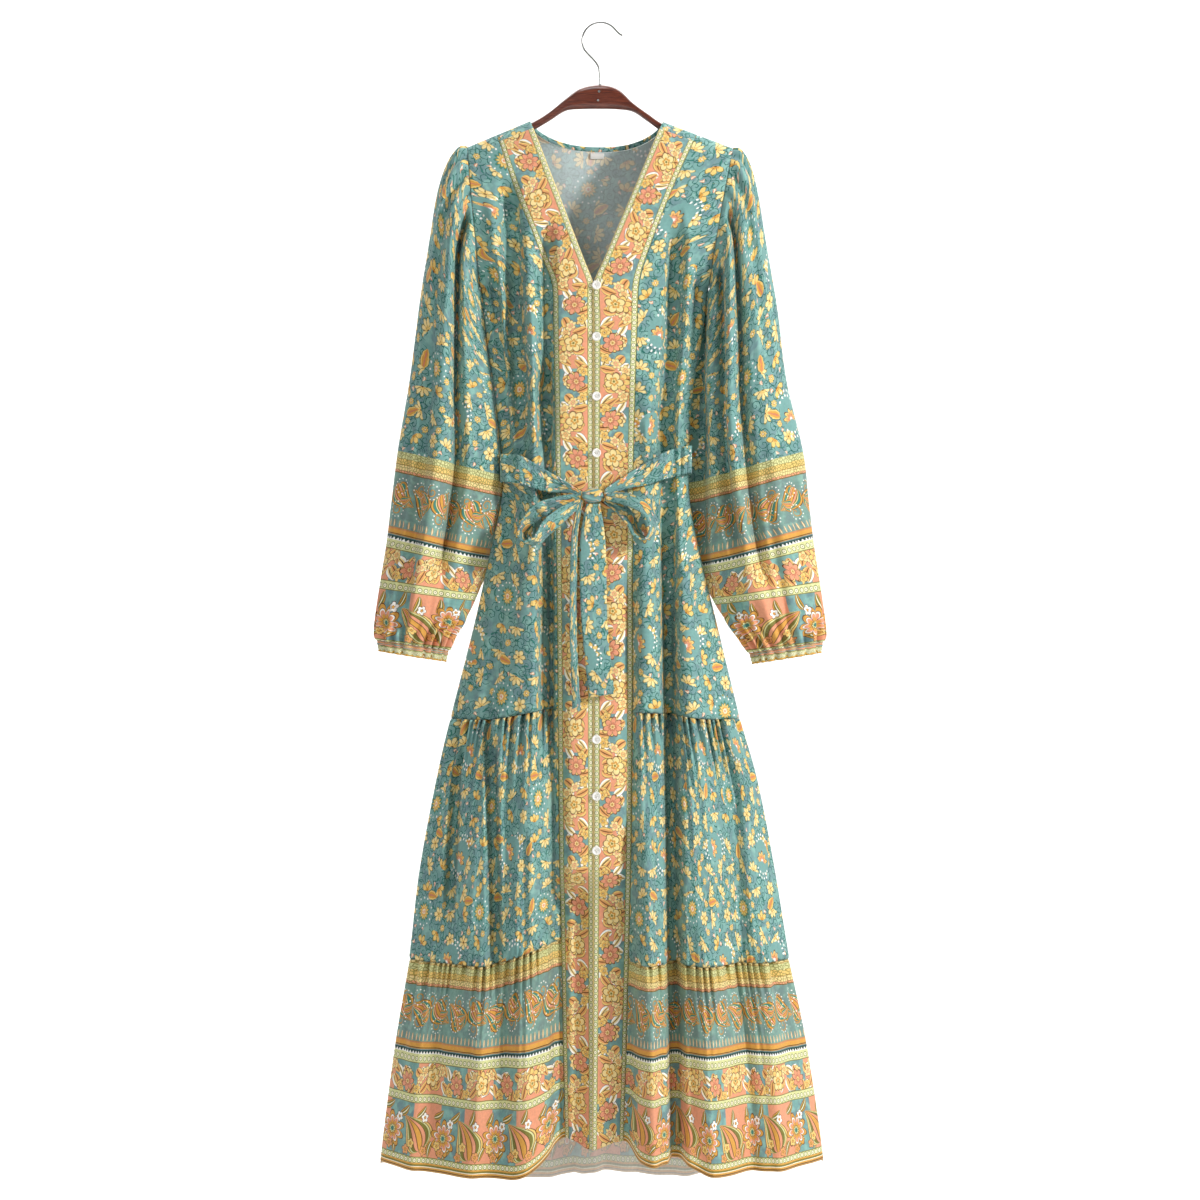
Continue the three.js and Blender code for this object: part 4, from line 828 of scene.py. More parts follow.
# sewn shirt button: a turned rim, a dished middle with four holes, and two bars of thread
def makeButtons(pearl, thread):
    columns, radii = 48, np.array([0.001, 0.45, 0.9, 1.3, 1.7, 2.1, 2.6, 3.2, 3.7, 4.1, 4.6, 5.1, 5.5, 5.7,
                                   5.6, 5.0, 4.0])
    dish = np.interp(radii, [0, 3.2, 3.9, 4.6, 5.2, 5.7], [1.55, 1.6, 2.1, 2.4, 2.2, 1.2])
    dish[-3:] = [0.8, 0.4, 0.3]
    angle = np.linspace(0, 2 * math.pi, columns, endpoint=False)
    verts, faces = [], []
    for radius, high in zip(radii, dish):
        for turn in angle:
            x, z = radius * math.cos(turn), radius * math.sin(turn)
            near = min(math.hypot(abs(x) - buttons["holes"], abs(z) - buttons["holes"]), 9)
            hole = buttons["holeDepth"] * float(ease((buttons["holeRadius"] + 0.25 - near) / 0.35))
            verts.append((x, -(high - (hole if radius < 3 else 0)), z))
    for ring in range(len(radii) - 1):
        for c in range(columns):
            a, b = ring * columns + c, ring * columns + (c + 1) % columns
            faces.append((a, a + columns, b + columns, b))
    cap = len(verts)
    verts.append((0, -0.3, 0))
    last = (len(radii) - 1) * columns
    for c in range(columns):
        faces.append((last + c, cap, last + (c + 1) % columns))
    plain = len(faces)
    for z in (-1.15, 1.15):
        start = len(verts)
        for x, bulge in ((-1.3, 1.2), (-0.7, 1.95), (0, 2.1), (0.7, 1.95), (1.3, 1.2)):
            for turn in np.linspace(0, 2 * math.pi, 8, endpoint=False):
                verts.append((x, -bulge + 0.34 * math.cos(turn), z + 0.34 * math.sin(turn)))
        for ring in range(4):
            for c in range(8):
                a, b = start + ring * 8 + c, start + ring * 8 + (c + 1) % 8
                faces.append((a, b, b + 8, a + 8))
    for number, height in enumerate(buttons["heights"], start=1):
        name = "button_%02d" % number
        share = (buttons["x"] - bandEdge(rightBand, "inner", height)) / (
            bandEdge(rightBand, "outer", height) - bandEdge(rightBand, "inner", height))
        seat = rightBandPoint(np.array([share]), np.array([float(height)]))[0]
        low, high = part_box(name)
        middle = (np.array(low) + np.array(high)) / 2 / mm
        tilt = 0.35 * number
        mesh = bpy.data.meshes.new("button")
        mesh.from_pydata([(
            (x * math.cos(tilt) - z * math.sin(tilt) + middle[0]) * mm,
            (y + min(seat[1] - 0.3, high[1] / mm)) * mm,
            (x * math.sin(tilt) + z * math.cos(tilt) + middle[2]) * mm) for x, y, z in verts], [], faces)
        smooth(mesh)
        mesh.polygons.foreach_set("material_index", [0] * plain + [1] * (len(faces) - plain))
        mesh.materials.append(pearl)
        mesh.materials.append(thread)
        addPiece("sewnButton_%02d" % number, mesh, "button", name)
    print("buttons made")


hanger = {
    "x": [-156, -152, -120, -86, -64, -43, -25, 0, 22, 41, 60, 78, 120, 153, 157],
    "top": [-156, -151.8, -138.3, -124.6, -111.5, -94.5, -81.5, -77, -82, -99.5, -113.4, -125.6, -141.3,
            -153.9, -157.6],
    "bottom": [-161, -162, -149.6, -135.4, -123, -110, -107.8, -107.4, -108, -111, -123.5, -135.5, -151.6,
               -163.6, -163],
    "half": [3, 5.5, 5.8, 4.6, 5.5, 6.5, 7, 7, 7, 6.5, 6, 4.6, 5.8, 5.5, 3],
    "wire": 2.4, "hookRadius": 23.25, "pins": [(-1.2, -86.5), (-2.6, -97.5)],
}


def makeHanger(wood, steel):
    count = 120
    x = np.linspace(hanger["x"][0], hanger["x"][-1], count)[:, None]
    turn = np.linspace(0, 2 * math.pi, 33)[None, :]
    top, bottom = readTable(hanger, "x", "top", x), readTable(hanger, "x", "bottom", x)
    half = readTable(hanger, "x", "half", x)
    points = stacked(x, half * np.sin(turn) * (1 - 0.06 * np.cos(4 * turn)),
                     (top + bottom) / 2 + (top - bottom) / 2 * np.cos(turn))
    flatEnds = np.repeat(points.mean(axis=1, keepdims=True), 33, axis=1)
    points = np.concatenate([flatEnds[:1], points, flatEnds[-1:]], 0)
    mesh = bpy.data.meshes.new("hangerBar")
    mesh.from_pydata((points.reshape(-1, 3) * mm).tolist(), [], gridQuads(*points.shape[:2]).tolist())
    weld(mesh, outwards=True)
    smooth(mesh)
    mesh.materials.append(wood)
    addPiece("hangerBar", mesh, "wood", "hanger_body")
    # hook wire, bent on one circle and capped flat at its ends
    curve = bpy.data.curves.new("hangerHook", "CURVE")
    curve.dimensions = "3D"
    curve.bevel_depth = hanger["wire"] / 2 * mm
    curve.bevel_resolution = 6
    curve.resolution_u = 16
    curve.use_fill_caps = True
    centreX, centreZ = 0.7, hanger["wire"] / 2 - hanger["hookRadius"]
    route = [(0, -76.5), (0, -64), (-2.5, -51)]
    for degrees in range(215, 34, -15):
        turn = math.radians(degrees)
        route.append((centreX + hanger["hookRadius"] * math.cos(turn),
                      centreZ + hanger["hookRadius"] * math.sin(turn)))
    route += [(24.5, -14), (28.2, -15.4)]
    spline = curve.splines.new("NURBS")
    spline.points.add(len(route) - 1)
    spline.use_endpoint_u = True
    spline.order_u = 3
    for point, (x, z) in zip(spline.points, route):
        point.co = (x * mm, 0, z * mm, 1)
    curve.materials.append(steel)
    addPiece("hangerHook", curve, "steel", "hanger_hook")
    makePins(steel)
    print("hanger made")


# two round-headed pins in the front of the bar and a collar where the wire enters it
def makePins(steel):
    shape = bmesh.new()
    for x, z in hanger["pins"]:
        made = bmesh.ops.create_uvsphere(shape, u_segments=20, v_segments=10, radius=1.5 * mm)["verts"]
        for vert in made:
            vert.co.y = vert.co.y * 0.35 - 6.9 * mm
            vert.co.x += x * mm
            vert.co.z += z * mm
    ring = bmesh.ops.create_cone(shape, cap_ends=True, segments=28, radius1=2.6 * mm, radius2=1.7 * mm,
                                 depth=2.4 * mm)["verts"]
    for vert in ring:
        vert.co.z -= 76.6 * mm
    mesh = bpy.data.meshes.new("hangerPins")
    shape.to_mesh(mesh)
    shape.free()
    smooth(mesh)
    mesh.materials.append(steel)
    addPiece("hangerPins", mesh, "steel")


# sRGB hex, or the name of an ink, to Blender's linear colour; no ink is bare cloth
def linear(ink):
    if not ink:
        return (0, 0, 0, 0)
    hexColour = inks.get(ink, ink)
    parts = [int(hexColour[i:i + 2], 16) / 255 for i in (1, 3, 5)]
    return [c / 12.92 if c <= 0.04045 else ((c + 0.055) / 1.055) ** 2.4 for c in parts] + [1]


# adds one node: a kind in capitals is what a Math node does; inputs are values, colours, nodes
# (their first output) or sockets, in order or by name
def addNode(tree, kind, *inputs, named=None, **settings):
    if kind.isupper():
        kind, settings = "Math", {"operation": kind}
    node = tree.nodes.new(kind if kind.startswith("NodeGroup") else "ShaderNode" + kind)
    for key, value in settings.items():
        setattr(node, key, value)
    for key, value in [*enumerate(inputs), *(named or {}).items()]:
        if isinstance(value, str):
            value = linear(value)
        if isinstance(value, bpy.types.Node):
            value = value.outputs[0]
        if isinstance(value, bpy.types.NodeSocket):
            tree.links.new(value, node.inputs[key])
        else:
            node.inputs[key].default_value = value
    return node


def newMaterial(name):
    material = bpy.data.materials.new(name)
    material.use_nodes = True
    material.node_tree.nodes.clear()
    return material, partial(addNode, material.node_tree)


# inputs and outputs are given as "name Kind" pairs
def newGroup(name, inputs, outputs):
    tree = bpy.data.node_groups.new(name, "ShaderNodeTree")
    for way, sockets in (("INPUT", inputs), ("OUTPUT", outputs)):
        for socket in sockets.split(", "):
            label, kind = socket.split()
            tree.interface.new_socket(label, in_out=way, socket_type="NodeSocket" + kind)
    shapes[name] = tree
    return partial(addNode, tree), addNode(tree, "NodeGroupInput").outputs


def setStops(ramp, stops):
    elements = ramp.color_ramp.elements
    for number, (place, ink) in enumerate(stops):
        stop = elements[number] if number < 2 else elements.new(place)
        stop.position = place
        stop.color = linear(ink)


# prints one motif over a cloth colour: each stop is a place in the field and the ink from there on
def printMotif(add, under, field, stops):
    ramp = add("ValToRGB", field)
    ramp.color_ramp.interpolation = "CONSTANT"
    setStops(ramp, stops)
    return add("MixRGB", ramp.outputs["Alpha"], under, ramp.outputs["Color"])


# hides a motif in the cells whose chance is over a limit
def someOf(add, field, chance, limit):
    return add("ADD", field, add("GREATER_THAN", chance, limit))


def useGroup(add, name, *inputs):
    return add("Group", *inputs, node_tree=shapes[name])


# the cell of a motif in a row that runs beside a middle line
def rowCell(add, off, side, *rest):
    return useGroup(add, "motifRow", add("SUBTRACT", off, side), *rest)


shapes = {}
inks = {
    "teal": "#79a6a1", "aqua": "#8dbab1", "slate": "#739497", "deepTeal": "#29665e", "green": "#45897c",
    "olive": "#7f7a3a", "brown": "#6b4529", "gold": "#dba24c", "orange": "#e5a468", "yellow": "#f0cd7c",
    "butter": "#f5dd9c", "cream": "#f8f0d4", "white": "#fcf9f2", "coral": "#e89f7d", "rose": "#d08363",
    "chain": "#dbdb9f", "chainLine": "#77854a", "ochre": "#bf9350", "night": "#2d4a45",
}


# one motif a cell on an uneven lattice, each with its own turn
def makeScatter():
    add, given = newGroup("scatter", "place Vector, cell Float, shift Vector, loose Float, turn Float",
                          "local Vector, chance Float")
    moved = add("VectorMath", given["place"], given["shift"])
    scale = add("DIVIDE", 1.0, given["cell"])
    cells = add("TexVoronoi", moved, voronoi_dimensions="2D",
                named={"Scale": scale, "Randomness": given["loose"]})
    local = add("VectorMath", moved, cells.outputs["Position"], operation="SUBTRACT")
    chances = add("SeparateColor", cells.outputs["Color"])
    angle = add("MULTIPLY", chances.outputs["Green"], given["turn"])
    turned = add("VectorRotate", local, rotation_type="Z_AXIS", named={"Angle": angle})
    add("NodeGroupOutput", turned, chances.outputs["Red"])


# motifs in a row, one each step along a strip
def makeRow():
    add, given = newGroup("motifRow", "across Float, along Float, step Float, offset Float, "
                          "wander Float, tilt Float, turn Float", "local Vector, chance Float")
    scaled = add("ADD", add("DIVIDE", given["along"], given["step"]), given["offset"])
    number = add("FLOOR", scaled)
    inCell = add("SUBTRACT", add("FRACT", scaled), 0.5)
    along = add("MULTIPLY", inCell, given["step"])
    seed = add("MULTIPLY_ADD", given["offset"], 17.3, number)
    chances = add("TexWhiteNoise", noise_dimensions="1D", named={"W": seed})
    parts = add("SeparateColor", chances.outputs["Color"])
    sway = add("MULTIPLY", add("SUBTRACT", parts.outputs["Red"], 0.5), given["wander"])
    across = add("SUBTRACT", given["across"], sway)
    spin = add("MULTIPLY_ADD", add("SUBTRACT", parts.outputs["Green"], 0.5), given["turn"],
               given["tilt"])
    turned = add("VectorRotate", add("CombineXYZ", across, along), rotation_type="Z_AXIS",
                 named={"Angle": spin})
    add("NodeGroupOutput", turned, chances.outputs["Value"])


# petals round a centre: the field is 1 at their edge, and the rays fall to 0 between two petals
def makeBlossom():
    add, given = newGroup("blossom", "local Vector, radius Float, petals Float, spread Float",
                          "field Float, rays Float")
    parts = add("SeparateXYZ", given["local"])
    angle = add("ARCTAN2", parts.outputs[0], parts.outputs[1])
    half = add("MULTIPLY", given["petals"], 0.5)
    rays = add("ABSOLUTE", add("COSINE", add("MULTIPLY", angle, half)))
    edge = add("MULTIPLY_ADD", rays, 0.42, 0.62)
    reach = add("MULTIPLY", edge, given["radius"])
    far = add("VectorMath", given["local"], operation="LENGTH").outputs["Value"]
    field = add("DIVIDE", far, reach)
    wide = add("GREATER_THAN", add("ABSOLUTE", angle), given["spread"])
    add("NodeGroupOutput", add("ADD", field, wide), rays)


# leaf, drop or paisley along local Y: the field is 0 on its rib and 1 at its edge
def makeLeaf():
    add, given = newGroup("leafShape", "local Vector, length Float, width Float, bend Float, "
                          "taper Float", "field Float")
    parts = add("SeparateXYZ", given["local"])
    up = add("ADD", add("DIVIDE", parts.outputs[1], given["length"]), 0.5)
    fromBase = add("SUBTRACT", up, 0.35)
    curl = add("MULTIPLY", add("MULTIPLY", fromBase, fromBase),
               add("MULTIPLY", given["bend"], given["length"]))
    off = add("ABSOLUTE", add("SUBTRACT", parts.outputs[0], curl))
    rest = add("SUBTRACT", 1.0, up)
    swell = add("MAXIMUM", add("MULTIPLY", up, rest), 0.000001)
    outline = add("MULTIPLY", add("SQRT", swell), given["width"])
    taper = add("MAXIMUM", add("MULTIPLY_ADD", up, given["taper"], 1.0), 0.02)
    half = add("MULTIPLY", outline, taper)
    add("NodeGroupOutput", add("DIVIDE", off, half))


# tendril wound in a spiral: the field is 0 on its line
def makeCurl():
    add, given = newGroup("curl", "local Vector, radius Float, pitch Float", "field Float")
    parts = add("SeparateXYZ", given["local"])
    angle = add("ARCTAN2", parts.outputs[0], parts.outputs[1])
    far = add("VectorMath", given["local"], operation="LENGTH").outputs["Value"]
    turns = add("DIVIDE", far, given["pitch"])
    line = add("PINGPONG", add("MULTIPLY_ADD", angle, 1 / (2 * math.pi), turns), 0.5)
    add("NodeGroupOutput", add("ADD", line, add("GREATER_THAN", far, given["radius"])))


# teal ground washed unevenly with slate and lighter aqua, in patches of 10 to 30 mm
def makeWash():
    add, given = newGroup("wash", "place Vector", "colour Color")
    colour = "slate"
    for scale, low, high, ink in ((0.035, 0.38, 0.62, "teal"), (0.09, 0.48, 0.7, "aqua")):
        cloudy = add("TexNoise", given["place"], noise_dimensions="2D",
                     named={"Scale": scale, "Detail": 2.0})
        colour = add("MixRGB", add("MapRange", cloudy.outputs[0], low, high), colour, ink)
    add("NodeGroupOutput", colour)


# white dots evenly spaced on a circle, or on its upper and lower arcs as wide as the reach
def printDotRing(add, colour, local, radius, count, size, reach=99.0):
    parts = add("SeparateXYZ", local)
    angle = add("ARCTAN2", parts.outputs[0], parts.outputs[1])
    share = add("MULTIPLY", angle, count / (2 * math.pi))
    side = add("MULTIPLY", add("PINGPONG", share, 0.5), 2 * math.pi * radius / count)
    far = add("VectorMath", local, operation="LENGTH").outputs["Value"]
    off = add("SUBTRACT", far, radius)
    spot = add("VectorMath", add("CombineXYZ", side, off), operation="LENGTH")
    scaled = add("DIVIDE", spot.outputs["Value"], size)
    aside = add("ABSOLUTE", parts.outputs[0])
    scaled = add("ADD", scaled, add("GREATER_THAN", aside, reach))
    return printMotif(add, colour, scaled, [(0, "white"), (1, None)])


# rings of a chain along a strip, at a distance from its middle line
def printChain(add, colour, off, along, size=2.9, pitch=6.8):
    side = add("MULTIPLY", add("PINGPONG", add("DIVIDE", along, pitch), 0.5), pitch)
    far = add("VectorMath", add("CombineXYZ", side, off), operation="LENGTH")
    ring = add("DIVIDE", far.outputs["Value"], size)
    return printMotif(add, colour, ring, [(0, "chainLine"), (0.2, "cream"), (0.68, "chainLine"),
                                          (0.94, None)])


# coral and teal blocks along a strip
def printBlocks(add, place, along, offset, period=95):
    share = add("FRACT", add("ADD", add("DIVIDE", along, period), offset))
    return add("MixRGB", add("LESS_THAN", share, 0.53), useGroup(add, "wash", place), "coral")


# dark lines between the petals of a blossom, from its heart to its edge
def printPetalLines(add, colour, field, rays, low, width):
    petal = add("ADD", add("GREATER_THAN", field, 0.9), add("LESS_THAN", field, low))
    return printMotif(add, colour, add("ADD", rays, petal), [(0, "brown"), (width, None)])


# the small all-over print: palmettes, rosettes, drops, curls and two large motifs on a teal ground
groundPrint = {
    "curls": {"cell": 17, "radius": 7.6, "pitch": 5.2},
    "leaves": {"cell": 13, "length": 12, "width": 2.6},
    "commas": {"cell": 17, "length": 5.5, "width": 5.0},
    "palmettes": {"cell": 30, "radius": 12.6},
    "drops": {"cell": 74, "length": 20, "width": 17},
    "rosettes": {"cell": 30, "radius": 5.0},
    "mandalas": {"cell": 132, "radius": 12.5, "dots": 17},
    "hearts": {"cell": 132, "radius": 12.5, "rings": ((17.5, 18), (22, 23))},
}


def makeGroundPrint():
    add, given = newGroup("groundPrint", "place Vector", "colour Color")
    # hand-cut blocks wobble: every outline is moved by up to half a millimetre
    wobble = add("TexNoise", given["place"], noise_dimensions="2D", named={"Scale": 0.3, "Detail": 1.0})
    centred = add("VectorMath", wobble.outputs["Color"], (0.5, 0.5, 0.5), operation="SUBTRACT")
    place = add("VectorMath", centred, (2.0, 2.0, 0), given["place"], operation="MULTIPLY_ADD")
    colour = useGroup(add, "wash", given["place"])

    def scatter(part, *rest):
        return useGroup(add, "scatter", place, part["cell"], *rest)
    # tendrils and slender leaves in deep teal
    part = groundPrint["curls"]
    for shift in ((31, 7, 0), (39.5, 15.5, 0)):
        cell = scatter(part, shift, 0.4, 40)
        curl = useGroup(add, "curl", cell, part["radius"], part["pitch"])
        curl = someOf(add, curl, cell.outputs[1], 0.85)
        colour = printMotif(add, colour, curl, [(0, "deepTeal"), (0.085, None)])
    part = groundPrint["leaves"]
    cell = scatter(part, (3, 57, 0), 0.8, 50)
    leaf = useGroup(add, "leafShape", cell, part["length"], part["width"], 0.6, -0.5)
    leaf = someOf(add, leaf, cell.outputs[1], 0.5)
    colour = printMotif(add, colour, leaf, [(0, "green"), (0.4, "deepTeal"), (0.95, None)])
    # commas in coral with a pale heart
    part = groundPrint["commas"]
    cell = scatter(part, (77, 19, 0), 0.6, 30)
    drop = useGroup(add, "leafShape", cell, part["length"], part["width"], 1.0, -0.5)
    drop = someOf(add, drop, cell.outputs[1], 0.45)
    colour = printMotif(add, colour, drop, [(0, "cream"), (0.35, "coral"), (0.85, "rose"), (1, None)])
    # palmettes: a fan of petals with dark veins; the chance of a cell picks one of three looks
    # (from, to, place of the base, rays, opening, size, inner and outer ink)
    part = groundPrint["palmettes"]
    cell = scatter(part, (11, 5, 0), 0.28, 44)
    looks = ((0, 0.55, 0.4, 9, 1.5, 1, "yellow", "butter"), (0.55, 0.84, 0.4, 7, 1.3, 1, "gold", "yellow"),
             (0.84, 1, 0.05, 6, 4, 0.74, "yellow", "butter"))
    for low, high, base, rays, opening, size, inner, outer in looks:
        based = add("VectorMath", cell, (0, part["radius"] * base, 0))
        fan = useGroup(add, "blossom", based, part["radius"] * size, rays, opening)
        over = add("LESS_THAN", cell.outputs[1], low)
        kept = add("ADD", someOf(add, fan, cell.outputs[1], high), over)
        colour = printMotif(add, colour, kept, [(0, "brown"), (0.14, inner), (0.4, outer),
                                                (0.9, "olive"), (1, None)])
        veins = add("ADD", add("GREATER_THAN", kept, 0.9), add("LESS_THAN", kept, 0.3))
        colour = printMotif(add, colour, add("ADD", fan.outputs[1], veins), [(0, "brown"), (0.24, None)])
    # small rosettes between the palmettes
    part = groundPrint["rosettes"]
    cell = scatter(part, (26, 20, 0), 0.28, 9)
    star = someOf(add, useGroup(add, "blossom", cell, part["radius"], 8, 4), cell.outputs[1], 0.5)
    colour = printMotif(add, colour, star, [(0, "cream"), (0.2, "ochre"), (0.4, "yellow"),
                                            (0.84, "olive"), (0.95, None)])
    # golden drops
    part = groundPrint["drops"]
    cell = scatter(part, (29, 83, 0), 0.35, 2)
    drop = useGroup(add, "leafShape", cell, part["length"], part["width"], 0.12, -0.45)
    colour = printMotif(add, colour, drop, [(0, "rose"), (0.16, "gold"), (0.56, "yellow"),
                                            (0.84, "deepTeal"), (1, None)])
    # mandala rosettes with a ring of white dots, on a bare disc
    part = groundPrint["mandalas"]
    cell = scatter(part, (17, 40, 0), 0.15, 3)
    colour = printDisc(add, colour, cell, part["dots"] + 2)
    star = useGroup(add, "blossom", cell, part["radius"], 12, 4)
    colour = printMotif(add, colour, star, [(0, "coral"), (0.16, "cream"), (0.3, "gold"), (0.48, "yellow"),
                                            (0.72, "olive"), (0.82, "green"), (1, None)])
    colour = printDotRing(add, colour, cell, part["dots"], 14, 1.15)
    # heart blossoms inside two oval rows of white dots
    part = groundPrint["hearts"]
    cell = scatter(part, (78, 101, 0), 0.15, 1.6)
    oval = add("VectorMath", cell, (1.0, 0.8, 1.0), operation="MULTIPLY")
    colour = printDisc(add, colour, oval, 17.0)
    for radius, count in part["rings"]:
        colour = printDotRing(add, colour, oval, radius, count, 1.25, 12.5)
    heart = useGroup(add, "blossom", add("VectorMath", cell, (0, 6, 0)), part["radius"], 9, 1.9)
    colour = printMotif(add, colour, heart, [(0, "white"), (0.2, "coral"), (0.42, "brown"),
                                             (0.46, "orange"), (0.7, "yellow"), (0.9, "brown"), (1, None)])
    add("NodeGroupOutput", colour)


# bare teal disc about the middle of a cell
def printDisc(add, colour, local, radius):
    far = add("VectorMath", local, operation="LENGTH").outputs["Value"]
    return printMotif(add, colour, add("DIVIDE", far, radius), [(0, "teal"), (1, None)])


# garland: large and small blossoms, buds, pale leaves and one rose in each pair of blocks
garland = {
    "sway": 4.0, "swayLength": 95, "rose": 12.5, "bloom": 12, "bud": 7, "leafLength": 17, "leafWidth": 13,
    "leafInks": {
        "white": [(0, "brown"), (0.12, "butter"), (0.42, "white"), (0.9, "brown"), (1, None)],
        "gold": [(0, "brown"), (0.12, "orange"), (0.55, "yellow"), (0.9, "brown"), (1, None)],
    },
    # step, offset along it, side, tilt, inks
    "leaves": (
        (47.5, 0.2, 11, 0.8, "white"), (47.5, 0.62, -11, -0.8, "white"), (31.7, 0.05, -8, 2.2, "gold"),
        (31.7, 0.55, 8, -2.2, "gold"), (47.5, 0.45, 9, 2.4, "white"), (47.5, 0.95, -9, -2.4, "white"),
        (23.75, 0.3, -9, 1.0, "gold"), (23.75, 0.8, 9, -1.0, "gold"),
    ),
    # step, offset along it, side, petals, size, inks from the heart outwards
    "blooms": (
        (31.7, 0.35, 10, 5, "bud", ("ochre", "orange", "butter")),
        (31.7, 0.8, -10, 5, "bud", ("brown", "gold", "yellow")),
        (31.7, 0.6, 3, 6, "bud", ("ochre", "coral", "butter")),
        (47.5, 0.1, 2, 6, "bloom", ("ochre", "orange", "yellow")),
        (95.0, 0.3, -3, 5, "bloom", ("olive", "gold", "butter")),
        (95.0, 0.8, 1, 7, "rose", ("ochre", "rose", "coral")),
    ),
}


def makeGarland():
    add, given = newGroup("garland", "across Float, along Float, under Color", "colour Color")
    along, colour = given["along"], given["under"]
    turn = add("MULTIPLY", along, 2 * math.pi / garland["swayLength"])
    sway = add("MULTIPLY", add("SINE", turn), garland["sway"])
    across = add("SUBTRACT", given["across"], sway)
    for step, offset, side, tilt, look in garland["leaves"]:
        cell = rowCell(add, across, side, along, step, offset, 4, tilt, 0.9)
        leaf = useGroup(add, "leafShape", cell, garland["leafLength"], garland["leafWidth"], 0.25, -0.25)
        colour = printMotif(add, colour, leaf, garland["leafInks"][look])
    for step, offset, side, petals, size, (heart, inner, outer) in garland["blooms"]:
        cell = rowCell(add, across, side, along, step, offset, 4, 0, 3)
        flower = useGroup(add, "blossom", cell, garland[size], petals, 4)
        colour = printMotif(add, colour, flower, [(0, heart), (0.14, "butter"), (0.24, inner),
                                                  (0.46, outer), (0.9, "brown"), (0.99, None)])
        colour = printPetalLines(add, colour, flower, flower.outputs[1], 0.3, 0.11)
    add("NodeGroupOutput", colour)


# the button band: chain, garland on blocks, chain
def makeBandPrint():
    add, given = newGroup("bandPrint", "place Vector", "colour Color")
    parts = add("SeparateXYZ", given["place"])
    across, along = parts.outputs[0], parts.outputs[1]
    colour = printBlocks(add, given["place"], along, 0.0)
    middle = add("SUBTRACT", across, 25.0)
    colour = useGroup(add, "garland", middle, along, colour)
    colour = printMotif(add, colour, add("DIVIDE", across, 50), [
        (0, "butter"), (0.022, "chain"), (0.13, "olive"), (0.145, None), (0.86, "olive"),
        (0.875, "chain"), (0.985, "olive")])
    fromMiddle = add("SUBTRACT", add("ABSOLUTE", middle), 21.5)
    add("NodeGroupOutput", printChain(add, colour, fromMiddle, along))


# the border, measured up from its foot in millimetres; None leaves the blocks or the field to show
border = {
    "height": 260, "chains": (13, 86, 134.5), "paisley": 48, "garland": 110, "field": 189,
    "fieldHalf": 34, "paisleyTop": 81, "fieldFoot": 150, "goldFoot": 222, "teeth": 139.8, "tassels": 160.5,
    "stripes": [
        (0, "ochre"), (1.6, "brown"), (2.6, "gold"), (4.6, "cream"), (5.4, "olive"), (7.4, "gold"),
        (9.2, "brown"), (10, "chain"), (16, "olive"), (16.9, None), (80.4, "olive"), (81.3, "chain"),
        (90.7, "olive"), (91.5, None), (128.8, "olive"), (129.6, "chain"), (139.6, "white"),
        (143.2, "slate"), (146, "ochre"), (147.2, "brown"), (148, "gold"), (152.5, "rose"),
        (153.6, "ochre"), (155, None), (222, "brown"), (223, "coral"), (226, "butter"), (232, "ochre"),
        (233, "yellow"), (240, "chain"), (248, "ochre"), (249, "butter"),
    ],
}


